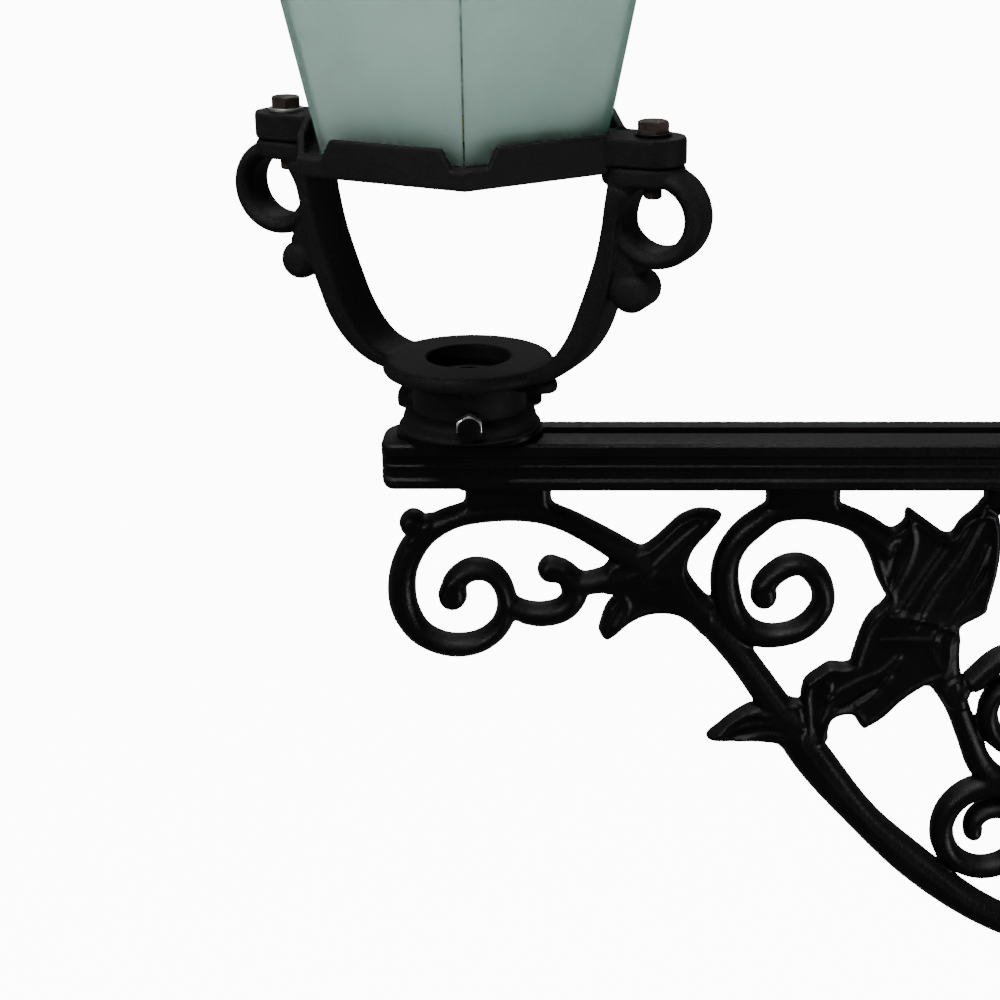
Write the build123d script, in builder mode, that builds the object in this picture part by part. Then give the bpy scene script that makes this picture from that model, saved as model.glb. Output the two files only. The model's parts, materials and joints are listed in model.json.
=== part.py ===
from build123d import *
import os
from math import atan, cos, degrees, hypot, radians, sin, sqrt, tan

os.makedirs("parts", exist_ok=True)

# Street lamp post in cast iron, millimetres. The origin is at the middle of the underside of the
# base plate. Z is up, the arm points to -X and the access door is on the -Y side.

# Overall layout
arm_reach = 700          # post axis to lantern axis
disc_top = 2560          # top of the cradle disc above the ground
lantern_turn = 4.3       # how far the lantern stands turned on its spigot, degrees

# Foot
plate_side = 480
plate_thick = 28
anchor_square = 390
casting_flats = 340
casting_wall = 14
casting_top = 640
door_width = 118
door_height = 330
door_thick = 8
door_bottom = 180
door_gap = 1.5
door_lip = 8
hinge_x = -63
hinge_y = -176
hinge_pin_radius = 3

# Shaft
shaft_foot_radius = 82
shaft_waist_radius = 68
shaft_top_radius = 57
shaft_wall = 9
collar_level = 1500
straight_level = 2020
shaft_top = 2600

# Arm and scrolls, heights measured down from the cradle disc
beam_depth = 55
groove_front = -1.5
groove_back = 12
groove_deep = 5
beam_top = -55.7
beam_bottom = -90.5
beam_nose = 60
pad_top = -49.5
beam_end = 614
panel_depth = 24
panel_foot = -520
strap_foot = -511
screw_places = (46, 238, 386, 532)
cable_way = 14           # side of the square cable way through the arm
cable_middle = -74

# Spigot and collar
spigot_radius = 30
spigot_bore = 14
tenon_radius = 20
spigot_top = -11
collar_bore = 30.06
disc_radius = 60
disc_thick = 10
disc_hole = 29

# Cradle
cradle_angle = -27       # the nearer arm, measured in the lantern's own frame
strap_width = 44
ring_width = 34
ring_radius = 33.5
ring_hole = 20.8
ring_centre = 142
ring_level = 111
set_screw_angles = (-91, 29, 149)
set_screw_level = -35.5
cradle_bolt_radius = 57
cradle_bolt_head = 4
lug_radius = 137
pad_level = 145

# Tray and glass
tray_radius = 123
tray_bottom = 140
tray_thick = 12
lip_height = 13
lip_thick = 5
lug_top = 163
glass_radius = 106
glass_level = 153
glass_height = 400
glass_slope = 0.23
glass_thick = 5
crown_level = 545

# Roof
roof_level = 574
roof_height = 190


def lantern_plane(level):
    """A level plane on the lantern axis, turned with the lantern."""
    a = radians(lantern_turn)
    return Plane(origin=(-arm_reach, 0, disc_top + level), x_dir=(cos(a), sin(a), 0), z_dir=(0, 0, 1))


def upright_plane(angle, shift=0):
    """An upright plane through the lantern axis, its x pointing away from the axis."""
    a = radians(lantern_turn + angle)
    side = Vector(sin(a), -cos(a), 0)
    return Plane(
        origin=Vector(-arm_reach, 0, disc_top) + side * shift, x_dir=(cos(a), sin(a), 0), z_dir=side
    )


arm_plane = Plane(origin=(-arm_reach, 0, disc_top), x_dir=(1, 0, 0), z_dir=(0, -1, 0))


def band_sides(stations):
    """Both edges of a band given by (x, z, width) stations along its middle."""
    left, right = [], []
    last = len(stations) - 1
    for i, (x, z, w) in enumerate(stations):
        ax, az, _ = stations[max(i - 1, 0)]
        bx, bz, _ = stations[min(i + 1, last)]
        run = hypot(bx - ax, bz - az)
        nx, nz = (az - bz) / run, (bx - ax) / run
        left.append((x + nx * w / 2, z + nz * w / 2))
        right.append((x - nx * w / 2, z - nz * w / 2))
    return left, right


def add_band(stations, start=0, end=0):
    """Adds a band to the open sketch, with a round of the given radius at each end."""
    left, right = band_sides(stations)
    with BuildLine() as edge:
        Spline(*left)
        Line(left[-1], right[-1])
        Spline(*reversed(right))
        Line(right[0], left[0])
    make_face(edge.edges())
    for (x, z, _), radius in ((stations[0], start), (stations[-1], end)):
        if radius:
            with Locations((x, z)):
                Circle(radius)


def add_outline(points):
    """Adds a filled outline with straight sides to the open sketch."""
    with BuildLine() as edge:
        Polyline(*points, close=True)
    make_face(edge.edges())


def hexagon(radius, mode=Mode.ADD):
    """A hexagon with corners on -90, -30 and 30 degrees, and so on round."""
    RegularPolygon(radius, 6, rotation=30, mode=mode)


def octagon(flats):
    """An octagon with a flat on each axis."""
    RegularPolygon(flats / 2, 8, major_radius=False, rotation=22.5)


def bolt(plane, flats, head, shank_radius, length):
    """A hexagon bolt whose head stands on the plane and whose shank runs the other way."""
    with BuildSketch(plane) as cap:
        RegularPolygon(flats / 2, 6, major_radius=False)
    extrude(cap.sketch, amount=head)
    with BuildSketch(plane) as shank:
        Circle(shank_radius)
    extrude(shank.sketch, amount=-length)


def on_lantern(level, angle, radius, tilt=0):
    """A plane on the lantern at an angle and radius, tipped outwards by tilt degrees."""
    turned = lantern_plane(level).location * Location((0, 0, 0), (0, 0, angle))
    return Plane(turned * Location((radius, 0, 0), (0, tilt, 0)))


# ---------------------------------------------------------------- foot

with BuildPart() as base_plate:
    with BuildSketch():
        RectangleRounded(plate_side, plate_side, 40)
        Circle(75, mode=Mode.SUBTRACT)
        with GridLocations(anchor_square, anchor_square, 2, 2):
            Circle(13, mode=Mode.SUBTRACT)
    extrude(amount=plate_thick)
    chamfer(base_plate.faces().sort_by(Axis.Z)[-1].outer_wire().edges(), 4)

door_centre = door_bottom + door_height / 2
face_y = -casting_flats / 2
door_plane = Plane(origin=(0, face_y, door_centre), x_dir=(1, 0, 0), z_dir=(0, -1, 0))
with BuildPart() as base_casting:
    # foot flange
    with BuildSketch(Plane.XY.offset(plate_thick)):
        octagon(416)
    extrude(amount=16)
    # skirt that slopes up to the walls
    with BuildSketch(Plane.XY.offset(plate_thick + 16)):
        octagon(casting_flats + 12)
    with BuildSketch(Plane.XY.offset(plate_thick + 70)):
        octagon(casting_flats)
    loft()
    with BuildSketch(Plane.XY.offset(plate_thick + 70)):
        octagon(casting_flats)
    extrude(amount=casting_top - plate_thick - 70)
    # hollow, closed at the top by a thick crown with a cable hole
    with BuildSketch(Plane.XY.offset(plate_thick)):
        octagon(casting_flats - 2 * casting_wall)
    extrude(amount=casting_top - plate_thick - 16, mode=Mode.SUBTRACT)
    with Locations((0, 0, casting_top)):
        Cylinder(60, 60, mode=Mode.SUBTRACT)
    # rebate for the door, and the opening behind it
    with BuildSketch(door_plane):
        Rectangle(door_width + 2 * door_gap, door_height + 2 * door_gap)
    extrude(amount=-door_thick, mode=Mode.SUBTRACT)
    with BuildSketch(door_plane):
        Rectangle(door_width - 2 * door_lip, door_height - 2 * door_lip)
    extrude(amount=-casting_wall - 2, mode=Mode.SUBTRACT)
    # fixed hinge knuckles
    for level in (door_bottom + 60, door_bottom + door_height - 60):
        for step in (-13, 13):
            with Locations((hinge_x, hinge_y, level + step)):
                Cylinder(6, 12)
            with Locations((hinge_x, hinge_y + 5, level + step)):
                Box(8, 8, 12)
            with Locations((hinge_x, hinge_y, level + step)):
                Cylinder(hinge_pin_radius, 14, mode=Mode.SUBTRACT)
    # bolt holes in the foot flange
    with PolarLocations(194, 8, start_angle=0):
        Cylinder(8.5, 140, mode=Mode.SUBTRACT)
    # bosses for the backboard
    back_wall = casting_flats / 2 - casting_wall
    with BuildSketch(Plane(origin=(0, back_wall, 0), x_dir=(1, 0, 0), z_dir=(0, -1, 0))):
        with Locations((-45, 230), (45, 230), (-45, 450), (45, 450)):
            Circle(9)
    extrude(amount=20)

with BuildPart() as base_bolts:
    with PolarLocations(194, 8, start_angle=0):
        with Locations((0, 0, plate_thick)):
            Cylinder(8.4, 16, align=(Align.CENTER, Align.CENTER, Align.MIN))
    with BuildSketch(Plane.XY.offset(plate_thick + 16)):
        with PolarLocations(194, 8, start_angle=0):
            RegularPolygon(12, 6, major_radius=False)
    extrude(amount=10)

# moulded cornice on the casting
with BuildPart() as base_cornice:
    for low, high, flats in ((0, 14, 372), (14, 30, 352), (30, 46, 316), (46, 60, 280)):
        with BuildSketch(Plane.XY.offset(casting_top + low)):
            octagon(flats)
        extrude(amount=high - low)
    with Locations((0, 0, casting_top)):
        Cylinder(60, 130, mode=Mode.SUBTRACT)
    with Locations((0, 0, casting_top + 60)):
        Cylinder(shaft_foot_radius + 0.5, 16, mode=Mode.SUBTRACT)
    chamfer(base_cornice.faces().filter_by(Axis.Z).sort_by(Axis.Z)[0].outer_wire().edges(), 5)

shaft_seat = casting_top + 52
taper = (shaft_foot_radius - shaft_waist_radius) / (collar_level - shaft_seat)
with BuildPart() as lower_shaft:
    with BuildSketch(Plane.XZ):
        with BuildLine():
            Polyline(
                (shaft_foot_radius - shaft_wall, shaft_seat),
                (shaft_foot_radius, shaft_seat),
                (shaft_waist_radius, collar_level),
                (shaft_waist_radius - shaft_wall, collar_level),
                close=True,
            )
        make_face()
    revolve(axis=Axis.Z)
    # sixteen flutes that follow the taper
    flute_length = collar_level - shaft_seat - 190
    flute_middle = (collar_level + shaft_seat) / 2 + 25
    flute_shaft = shaft_foot_radius - taper * (flute_middle - shaft_seat)
    for k in range(16):
        turned = Location((0, 0, 0), (0, 0, 360 / 16 * k))
        leaning = Location((flute_shaft + 5.5, 0, flute_middle), (0, -degrees(atan(taper)), 0))
        with Locations(turned * leaning):
            Cylinder(9, flute_length, mode=Mode.SUBTRACT)

with BuildPart() as foot_ring:
    with BuildSketch(Plane.XZ):
        with BuildLine():
            low = casting_top + 60.3
            Line((shaft_foot_radius + 0.3, low), (118, low))
            ThreePointArc((118, low), (126, low + 14), (116, low + 28))
            Line((116, low + 28), (104, low + 32))
            ThreePointArc((104, low + 32), (92, low + 44), (88, low + 62))
            Line((88, low + 62), (shaft_foot_radius + 0.3, low + 62))
            Line((shaft_foot_radius + 0.3, low + 62), (shaft_foot_radius + 0.3, low))
        make_face()
    revolve(axis=Axis.Z)

with BuildPart() as middle_collar:
    with BuildSketch(Plane.XZ):
        with BuildLine():
            low = collar_level
            Line((40, low), (82, low))
            ThreePointArc((82, low), (91, low + 12), (82, low + 24))
            Line((82, low + 24), (76, low + 28))
            Line((76, low + 28), (76, low + 44))
            ThreePointArc((76, low + 44), (84, low + 52), (76, low + 60))
            Line((76, low + 60), (66, low + 68))
            Line((66, low + 68), (40, low + 68))
            Line((40, low + 68), (40, low))
        make_face()
    revolve(axis=Axis.Z)
    # recess that the upper shaft stands in; the lower shaft butts against the underside
    with Locations((0, 0, collar_level + 30)):
        Cylinder(60.3, 60, align=(Align.CENTER, Align.CENTER, Align.MIN), mode=Mode.SUBTRACT)

with BuildPart() as upper_shaft:
    with BuildSketch(Plane.XZ):
        with BuildLine():
            Polyline(
                (51, collar_level + 30),
                (60, collar_level + 30),
                (shaft_top_radius, straight_level),
                (shaft_top_radius, shaft_top),
                (48, shaft_top),
                (48, straight_level),
                close=True,
            )
        make_face()
    revolve(axis=Axis.Z)
    # cable window into the arm
    with Locations((-52, 0, disc_top - 72)):
        Box(30, 16, 20, mode=Mode.SUBTRACT)

with BuildPart() as capital:
    with BuildSketch(Plane.XZ):
        with BuildLine():
            low = shaft_top
            Line((0, low), (64, low))
            ThreePointArc((64, low), (72, low + 9), (64, low + 18))
            ThreePointArc((64, low + 18), (66, low + 34), (84, low + 44))
            Line((84, low + 44), (84, low + 56))
            ThreePointArc((84, low + 56), (60, low + 70), (30, low + 74))
            Line((30, low + 74), (0, low + 74))
            Line((0, low + 74), (0, low))
        make_face()
    revolve(axis=Axis.Z)
    with Locations((0, 0, shaft_top)):
        Cylinder(44, 60, mode=Mode.SUBTRACT)

with BuildPart() as post_finial:
    with BuildSketch(Plane.XZ):
        with BuildLine():
            low = shaft_top + 74
            Line((0, low), (30, low))
            ThreePointArc((30, low), (22, low + 10), (20, low + 20))
            Line((20, low + 20), (30, low + 26))
            ThreePointArc((30, low + 26), (38, low + 50), (20, low + 80))
            Line((20, low + 80), (12, low + 90))
            ThreePointArc((12, low + 90), (9, low + 98), (3, low + 101))
            Line((3, low + 101), (0, low + 101))
            Line((0, low + 101), (0, low))
        make_face()
    revolve(axis=Axis.Z)

# ---------------------------------------------------------------- service compartment

board_y = casting_flats / 2 - casting_wall - 20
with BuildPart() as backboard:
    with Locations((0, board_y - 5, 340)):
        Box(130, 10, 280)

with BuildPart() as fuse_box:
    with Locations((0, board_y - 10 - 22, 340)):
        Box(90, 44, 120)
    fillet(fuse_box.faces().sort_by(Axis.Y)[0].edges(), 4)
    with Locations((0, board_y - 10 - 44, 350)):
        Box(44.2, 50, 70.2, mode=Mode.SUBTRACT)
    with Locations((-25, board_y - 32, 280), (25, board_y - 32, 280)):
        Cylinder(9, 20, mode=Mode.SUBTRACT)

with BuildPart() as fuse_carrier:
    with Locations((0, board_y - 10 - 40, 350)):
        Box(44, 36, 70)
    with Locations((0, board_y - 10 - 62, 350)):
        Box(12, 10, 40)
    fillet(fuse_carrier.faces().sort_by(Axis.Y)[0].edges(), 2)

with BuildPart() as service_gland:
    with Locations((-25, board_y - 32, 279.9), (25, board_y - 32, 279.9)):
        Cylinder(8.9, 10, align=(Align.CENTER, Align.CENTER, Align.MIN))
    with BuildSketch(Plane.XY.offset(279.9 - 12)):
        with Locations((-25, board_y - 32), (25, board_y - 32)):
            RegularPolygon(11, 6, major_radius=False)
    extrude(amount=12)
    with Locations((-25, board_y - 32, 260), (25, board_y - 32, 260)):
        Cylinder(5, 60, mode=Mode.SUBTRACT)

with BuildPart() as earth_stud:
    with BuildSketch(Plane(origin=(0, board_y - 10, 225), z_dir=(0, -1, 0))):
        Circle(4)
    extrude(amount=26)
    with BuildSketch(Plane(origin=(0, board_y - 16, 225), z_dir=(0, -1, 0))):
        RegularPolygon(6.5, 6, major_radius=False)
    extrude(amount=7)

# ---------------------------------------------------------------- door

with BuildPart() as access_door:
    with BuildSketch(door_plane):
        Rectangle(door_width, door_height)
    extrude(amount=-door_thick)
    with BuildSketch(door_plane):
        RectangleRounded(84, 290, 6)
        RectangleRounded(70, 276, 4, mode=Mode.SUBTRACT)
    extrude(amount=3)
    for level in (door_bottom + 60, door_bottom + door_height - 60):
        with Locations((hinge_x, hinge_y, level)):
            Cylinder(6, 13.4)
        with Locations((hinge_x + 8, hinge_y + 4, level)):
            Box(16, 4, 13.4)
        with Locations((hinge_x, hinge_y, level)):
            Cylinder(hinge_pin_radius + 0.05, 14, mode=Mode.SUBTRACT)
    with Locations(Location((40, face_y, door_centre), (90, 0, 0))):
        Cylinder(9.05, 40, mode=Mode.SUBTRACT)

with BuildPart() as door_hinge_pins:
    for level in (door_bottom + 60, door_bottom + door_height - 60):
        with Locations((hinge_x, hinge_y, level)):
            Cylinder(hinge_pin_radius, 38)

with BuildPart() as door_lock:
    with Locations(Location((40, face_y - 3, door_centre), (-90, 0, 0))):
        Cylinder(9, 22, align=(Align.CENTER, Align.CENTER, Align.MIN))
    with Locations(Location((40, face_y - 3, door_centre), (90, 0, 0))):
        Cylinder(12, 2.7, align=(Align.CENTER, Align.CENTER, Align.MIN))
    with BuildSketch(Plane(origin=(40, face_y - 5.7, door_centre), z_dir=(0, -1, 0))):
        RegularPolygon(5, 3)
    extrude(amount=-4, mode=Mode.SUBTRACT)
    # cam, pointing up when unlocked
    with Locations((40, face_y + 17.5, door_centre + 8)):
        Box(12, 3, 32)

# ---------------------------------------------------------------- arm and scrolls

with BuildPart() as bracket_beam:
    # cross-section, swept from the nose to the post
    nose_end = Vector(-arm_reach - beam_nose, 0, disc_top)
    with BuildSketch(Plane(origin=nose_end, x_dir=(0, 1, 0), z_dir=(1, 0, 0))):
        with BuildLine():
            half = beam_depth / 2
            Polyline(
                (-half, beam_top - 2), (-half + 2, beam_top), (groove_front, beam_top),
                (groove_front, beam_top - groove_deep), (groove_back, beam_top - groove_deep),
                (groove_back, beam_top), (half - 2, beam_top), (half, beam_top - 2),
                (half, beam_top - 10), (half - 2, beam_top - 12), (half - 2, beam_bottom + 9),
                (half, beam_bottom + 7), (half, beam_bottom + 2), (half - 2, beam_bottom),
                (-half + 2, beam_bottom), (-half, beam_bottom + 2), (-half, beam_bottom + 7),
                (-half + 2, beam_bottom + 9), (-half + 2, beam_top - 12), (-half, beam_top - 10),
                close=True,
            )
        make_face()
    extrude(amount=beam_nose + beam_end - 12)
    # round pad under the collar
    with BuildSketch(Plane(origin=(-arm_reach, 0, disc_top + beam_bottom), z_dir=(0, 0, 1))):
        with Locations((-4, 0)):
            RectangleRounded(112, beam_depth, 12)
    extrude(amount=pad_top - beam_bottom)
    chamfer(bracket_beam.faces().sort_by(Axis.Z)[-1].outer_wire().edges(), 4)
    # flange at the post
    with Locations((-arm_reach + beam_end - 6, 0, disc_top - 72)):
        Box(12, 98, 64)
    # seat of the spigot and the cable way
    with Locations((-arm_reach, 0, disc_top - 70)):
        Cylinder(tenon_radius, 60, mode=Mode.SUBTRACT)
    with Locations((-arm_reach + beam_end / 2 + 6, 0, disc_top + cable_middle)):
        Box(beam_end + 4, cable_way, cable_way, mode=Mode.SUBTRACT)
    flange_face = Vector(-arm_reach + beam_end, 0, disc_top - 72)
    with BuildSketch(Plane(origin=flange_face, x_dir=(0, 1, 0), z_dir=(1, 0, 0))):
        with GridLocations(76, 40, 2, 2):
            Circle(5.5)
    extrude(amount=-12, mode=Mode.SUBTRACT)
    for x in screw_places:
        with Locations((-arm_reach + x, 0, disc_top + beam_bottom)):
            Cylinder(3.5, 30, mode=Mode.SUBTRACT)

with BuildPart() as spigot:
    with Locations((-arm_reach, 0, disc_top + pad_top)):
        Cylinder(spigot_radius, spigot_top - pad_top, align=(Align.CENTER, Align.CENTER, Align.MIN))
        tenon_length = pad_top - beam_bottom - 1
        Cylinder(tenon_radius - 0.05, tenon_length, align=(Align.CENTER, Align.CENTER, Align.MAX))
        Cylinder(spigot_bore, 200, mode=Mode.SUBTRACT)
    with Locations((-arm_reach + tenon_radius, 0, disc_top + cable_middle)):
        Box(20, cable_way, cable_way, mode=Mode.SUBTRACT)

# stations are (x, z, width): x from the lantern axis, z from the cradle disc
front_arch = (
    (-31, -128, 19), (-8, -118, 17), (27, -114, 17), (57, -118, 17), (86, -132, 18), (121, -155, 22),
)
front_curl = (
    (-31, -128, 19), (-43, -142, 20), (-51, -160, 20), (-53, -179, 21), (-50, -195, 21),
    (-41, -210, 19), (-26, -219, 18), (-10, -221, 18), (5, -217, 17), (17, -207, 16), (23, -194, 15),
    (23, -180, 15), (18, -168, 16), (9, -161, 17), (-3, -161, 18), (-13, -169, 18), (-16, -181, 20),
)
link_curl = (
    (28, -190, 16), (39, -195, 18), (52, -196, 19), (65, -192, 19), (73, -182, 19), (73, -171, 18),
    (66, -163, 18), (56, -160, 18),
)
link_tie = ((72, -172, 18), (84, -171, 18), (95, -169, 20), (106, -167, 25), (121, -167, 37))
middle_curl = (
    (298, -139, 22), (285, -128, 19), (273, -121, 17), (254, -115, 17), (236, -113, 17), (218, -116, 17),
    (204, -125, 20),
    (192, -137, 20), (185, -151, 20), (183, -166, 21), (185, -183, 22), (190, -197, 22),
    (200, -208, 20), (212, -213, 19), (225, -213, 18), (238, -209, 18), (248, -201, 18),
    (255, -189, 18), (255, -176, 17), (249, -164, 18), (239, -157, 17), (228, -158, 18),
    (218, -165, 18), (212, -173, 18), (212, -181, 18),
)
chord = (
    (140, -173, 37), (160, -188, 24), (193, -226, 22), (221, -267, 24), (253, -315, 30),
    (292, -364, 25), (334, -405, 28), (381, -442, 25), (430, -466, 24), (500, -486, 24), (604, -494, 26),
)
small_leaf = (
    (244, -268), (222, -268), (205, -269), (190, -278), (180, -287), (172, -295), (178, -300),
    (200, -300), (224, -302), (246, -308),
)
front_leaf = (
    (96, -157), (107, -150), (123, -142), (132, -135), (141, -126), (150, -118), (164, -113), (180, -117),
    (172, -130), (165, -138), (159, -147), (156, -159), (158, -168), (165, -179), (176, -190), (170, -211),
    (158, -201), (147, -196), (136, -195), (125, -197), (114, -203), (103, -213), (96, -216), (91, -209),
    (92, -201), (96, -189), (102, -180), (96, -177),
)
large_leaf = (
    (284, -138), (289, -153), (293, -165), (299, -177), (301, -183), (292, -193), (285, -205), (279, -226),
    (276, -235), (263, -235), (256, -239), (247, -246), (243, -252), (242, -267), (248, -300), (263, -300),
    (264, -292), (267, -282), (275, -278), (282, -279), (289, -289), (295, -287), (306, -279), (317, -267),
    (328, -258), (337, -252), (349, -244), (353, -230), (353, -216), (359, -205), (375, -195), (378, -185),
    (383, -153), (381, -122), (369, -107), (362, -113), (352, -122), (344, -132), (327, -121), (316, -113),
    (312, -114), (311, -122), (304, -128), (295, -130),
)
down_band = (
    (333, -217, 52), (345, -240, 30), (358, -267, 19), (369, -294, 18), (381, -321, 20), (400, -338, 20),
)


def curl(x, z, outer, inner, start, sweep, wide, narrow, count):
    """Stations of a scroll that winds in round (x, z), angles in degrees."""
    out = []
    for k in range(count):
        t = k / (count - 1)
        r = outer + (inner - outer) * t**1.5
        a = radians(start + sweep * t)
        out.append((x + r * cos(a), z + r * sin(a), wide + (narrow - wide) * t))
    return out


# scrolls towards the post, wound by formula
upper_rear_curl = curl(412, -272, 46, 14, 150, -500, 19, 15, 18)
lower_rear_curl = curl(391, -378, 40, 12, 60, 480, 20, 15, 18)
post_upper_curl = curl(532, -178, 60, 16, 160, -520, 20, 15, 20)
post_lower_curl = curl(516, -388, 78, 18, 250, 520, 22, 15, 20)
rear_stem = (
    (384, -106, 22), (420, -118, 18), (450, -145, 18), (466, -190, 18), (468, -240, 18),
    (464, -290, 18), (450, -340, 18), (444, -385, 17),
)
pads = ((26, 62), (238, 54), (386, 36), (532, 60))       # middle and length of each neck pad

with BuildPart() as scroll_panel:
    with BuildSketch(arm_plane):
        add_band(front_arch, start=11)
        add_band(front_curl, end=10)
        add_band(link_curl, end=9)
        add_band(link_tie)
        add_band(middle_curl, end=9)
        add_band(chord)
        add_outline(front_leaf)
        add_outline(small_leaf)
        add_outline(large_leaf)
        with Locations((-43, -124)):
            Circle(10)
        add_band(down_band)
        add_band(upper_rear_curl, end=9)
        add_band(lower_rear_curl, end=9)
        add_band(post_upper_curl, end=9)
        add_band(post_lower_curl, end=9)
        add_band(rear_stem)
        with Locations((360, -258)):
            Circle(9)
        # neck pads against the arm, and the strap down the post
        for middle, length in pads:
            with Locations((middle, beam_bottom - 11)):
                Rectangle(length, 22)
        with Locations((595, (beam_bottom + strap_foot) / 2)):
            Rectangle(14, beam_bottom - strap_foot)
    extrude(amount=panel_depth / 2, both=True)
    # foot flange at the lower clamp
    with Locations((-arm_reach + beam_end - 6, 0, disc_top + panel_foot + 34)):
        Box(12, 98, 68)
    foot_face = Vector(-arm_reach + beam_end, 0, disc_top + panel_foot + 34)
    with BuildSketch(Plane(origin=foot_face, x_dir=(0, 1, 0), z_dir=(1, 0, 0))):
        with GridLocations(76, 44, 2, 2):
            Circle(5.5)
    extrude(amount=-12, mode=Mode.SUBTRACT)
    for x in screw_places:
        with Locations((-arm_reach + x, 0, disc_top + beam_bottom)):
            Cylinder(3.5, 36, mode=Mode.SUBTRACT)

with BuildPart() as panel_screws:
    for x in screw_places:
        with Locations((-arm_reach + x, 0, disc_top + cable_middle - cable_way / 2)):
            Cylinder(6, 4, align=(Align.CENTER, Align.CENTER, Align.MIN))
            Cylinder(3.45, 24, align=(Align.CENTER, Align.CENTER, Align.MAX))

# ---------------------------------------------------------------- clamps on the post


clamp_levels = (disc_top - 108, disc_top + panel_foot - 2)
clamp_height = 72
ear_holes = [(0, 84, -20), (0, 84, 20), (0, -84, -20), (0, -84, 20)]


def ear_locations(level):
    return [Location((0, y, level + clamp_height / 2 + z), (0, 90, 0)) for x, y, z in ear_holes]


def clamp_shell(level, side):
    with BuildSketch(Plane.XY.offset(level)) as outline:
        Circle(73)
        Rectangle(24, 208)
        if side < 0:
            with Locations((-64, 0)):
                Rectangle(44, 98)
        Circle(shaft_top_radius, mode=Mode.SUBTRACT)
        with Locations((-side * 149, 0)):
            Rectangle(300, 300, mode=Mode.SUBTRACT)
    extrude(outline.sketch, amount=clamp_height)
    with Locations(*ear_locations(level)):
        Cylinder(6.5, 60, mode=Mode.SUBTRACT)


with BuildPart() as clamp_upper_front:
    clamp_shell(clamp_levels[0], -1)
    with Locations((-80, 0, disc_top + cable_middle)):
        Box(60, cable_way, cable_way, mode=Mode.SUBTRACT)
    with BuildSketch(Plane(origin=(-86, 0, disc_top - 72), x_dir=(0, 1, 0), z_dir=(-1, 0, 0))):
        with GridLocations(76, 40, 2, 2):
            Circle(5.5)
    extrude(amount=-14, mode=Mode.SUBTRACT)

with BuildPart() as clamp_upper_rear:
    clamp_shell(clamp_levels[0], 1)

with BuildPart() as clamp_lower_front:
    clamp_shell(clamp_levels[1], -1)
    with BuildSketch(Plane(origin=(-86, 0, disc_top + panel_foot + 34), x_dir=(0, 1, 0), z_dir=(-1, 0, 0))):
        with GridLocations(76, 44, 2, 2):
            Circle(5.5)
    extrude(amount=-14, mode=Mode.SUBTRACT)

with BuildPart() as clamp_lower_rear:
    clamp_shell(clamp_levels[1], 1)

with BuildPart() as clamp_bolts:
    for level in clamp_levels:
        for spot in ear_locations(level):
            bolt(Plane(origin=(12, spot.position.Y, spot.position.Z), z_dir=(1, 0, 0)), 19, 7.5, 6, 40)

with BuildPart() as clamp_nuts:
    for level in clamp_levels:
        for spot in ear_locations(level):
            with BuildSketch(Plane(origin=(-12, spot.position.Y, spot.position.Z), z_dir=(-1, 0, 0))):
                RegularPolygon(9.5, 6, major_radius=False)
                Circle(6.1, mode=Mode.SUBTRACT)
            extrude(amount=10)

with BuildPart() as arm_bolts:
    for y in (-38, 38):
        for level in (disc_top - 92, disc_top - 52, disc_top + panel_foot + 12, disc_top + panel_foot + 56):
            bolt(Plane(origin=(-86 - 12, y, level), z_dir=(-1, 0, 0)), 17, 6.4, 5, 24)

# ---------------------------------------------------------------- collar and cradle

with BuildPart() as swivel_collar:
    with BuildSketch(upright_plane(0)):
        with BuildLine():
            Polyline(
                (collar_bore, -49.3), (50, -49.3), (50, -46.5), (48.4, -46.2), (47, -45.6), (47, -41),
                (44, -37), (40, -34), (40, -disc_thick), (collar_bore, -disc_thick), close=True,
            )
        make_face()
    revolve(axis=Axis(origin=(-arm_reach, 0, 0), direction=(0, 0, 1)))
    # ears under the arms of the cradle
    with BuildSketch(lantern_plane(-disc_thick - 8)):
        with PolarLocations(0, 2, start_angle=cradle_angle):
            with Locations((50, 0)):
                SlotOverall(34, 22)
        Circle(34, mode=Mode.SUBTRACT)
    extrude(amount=8)
    with BuildSketch(lantern_plane(-disc_thick - 8)):
        with PolarLocations(cradle_bolt_radius, 2, start_angle=cradle_angle):
            Circle(4.2)
    extrude(amount=8, mode=Mode.SUBTRACT)
    # counterbores, so that the bolt heads lie flush
    with BuildSketch(lantern_plane(-disc_thick - 8)):
        with PolarLocations(cradle_bolt_radius, 2, start_angle=cradle_angle):
            Circle(7)
    extrude(amount=cradle_bolt_head, mode=Mode.SUBTRACT)
    # bosses and tapped holes for the set screws
    for a in set_screw_angles:
        with Locations(on_lantern(set_screw_level, a, 38, 90).location):
            Cylinder(9, 9, align=(Align.CENTER, Align.CENTER, Align.MIN))
        with Locations(on_lantern(set_screw_level, a, 40, 90).location):
            Cylinder(4.1, 40, mode=Mode.SUBTRACT)

with BuildPart() as collar_screws:
    for a in set_screw_angles:
        bolt(on_lantern(set_screw_level, a, 47, 90), 17, 8, 4, 16)

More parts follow.
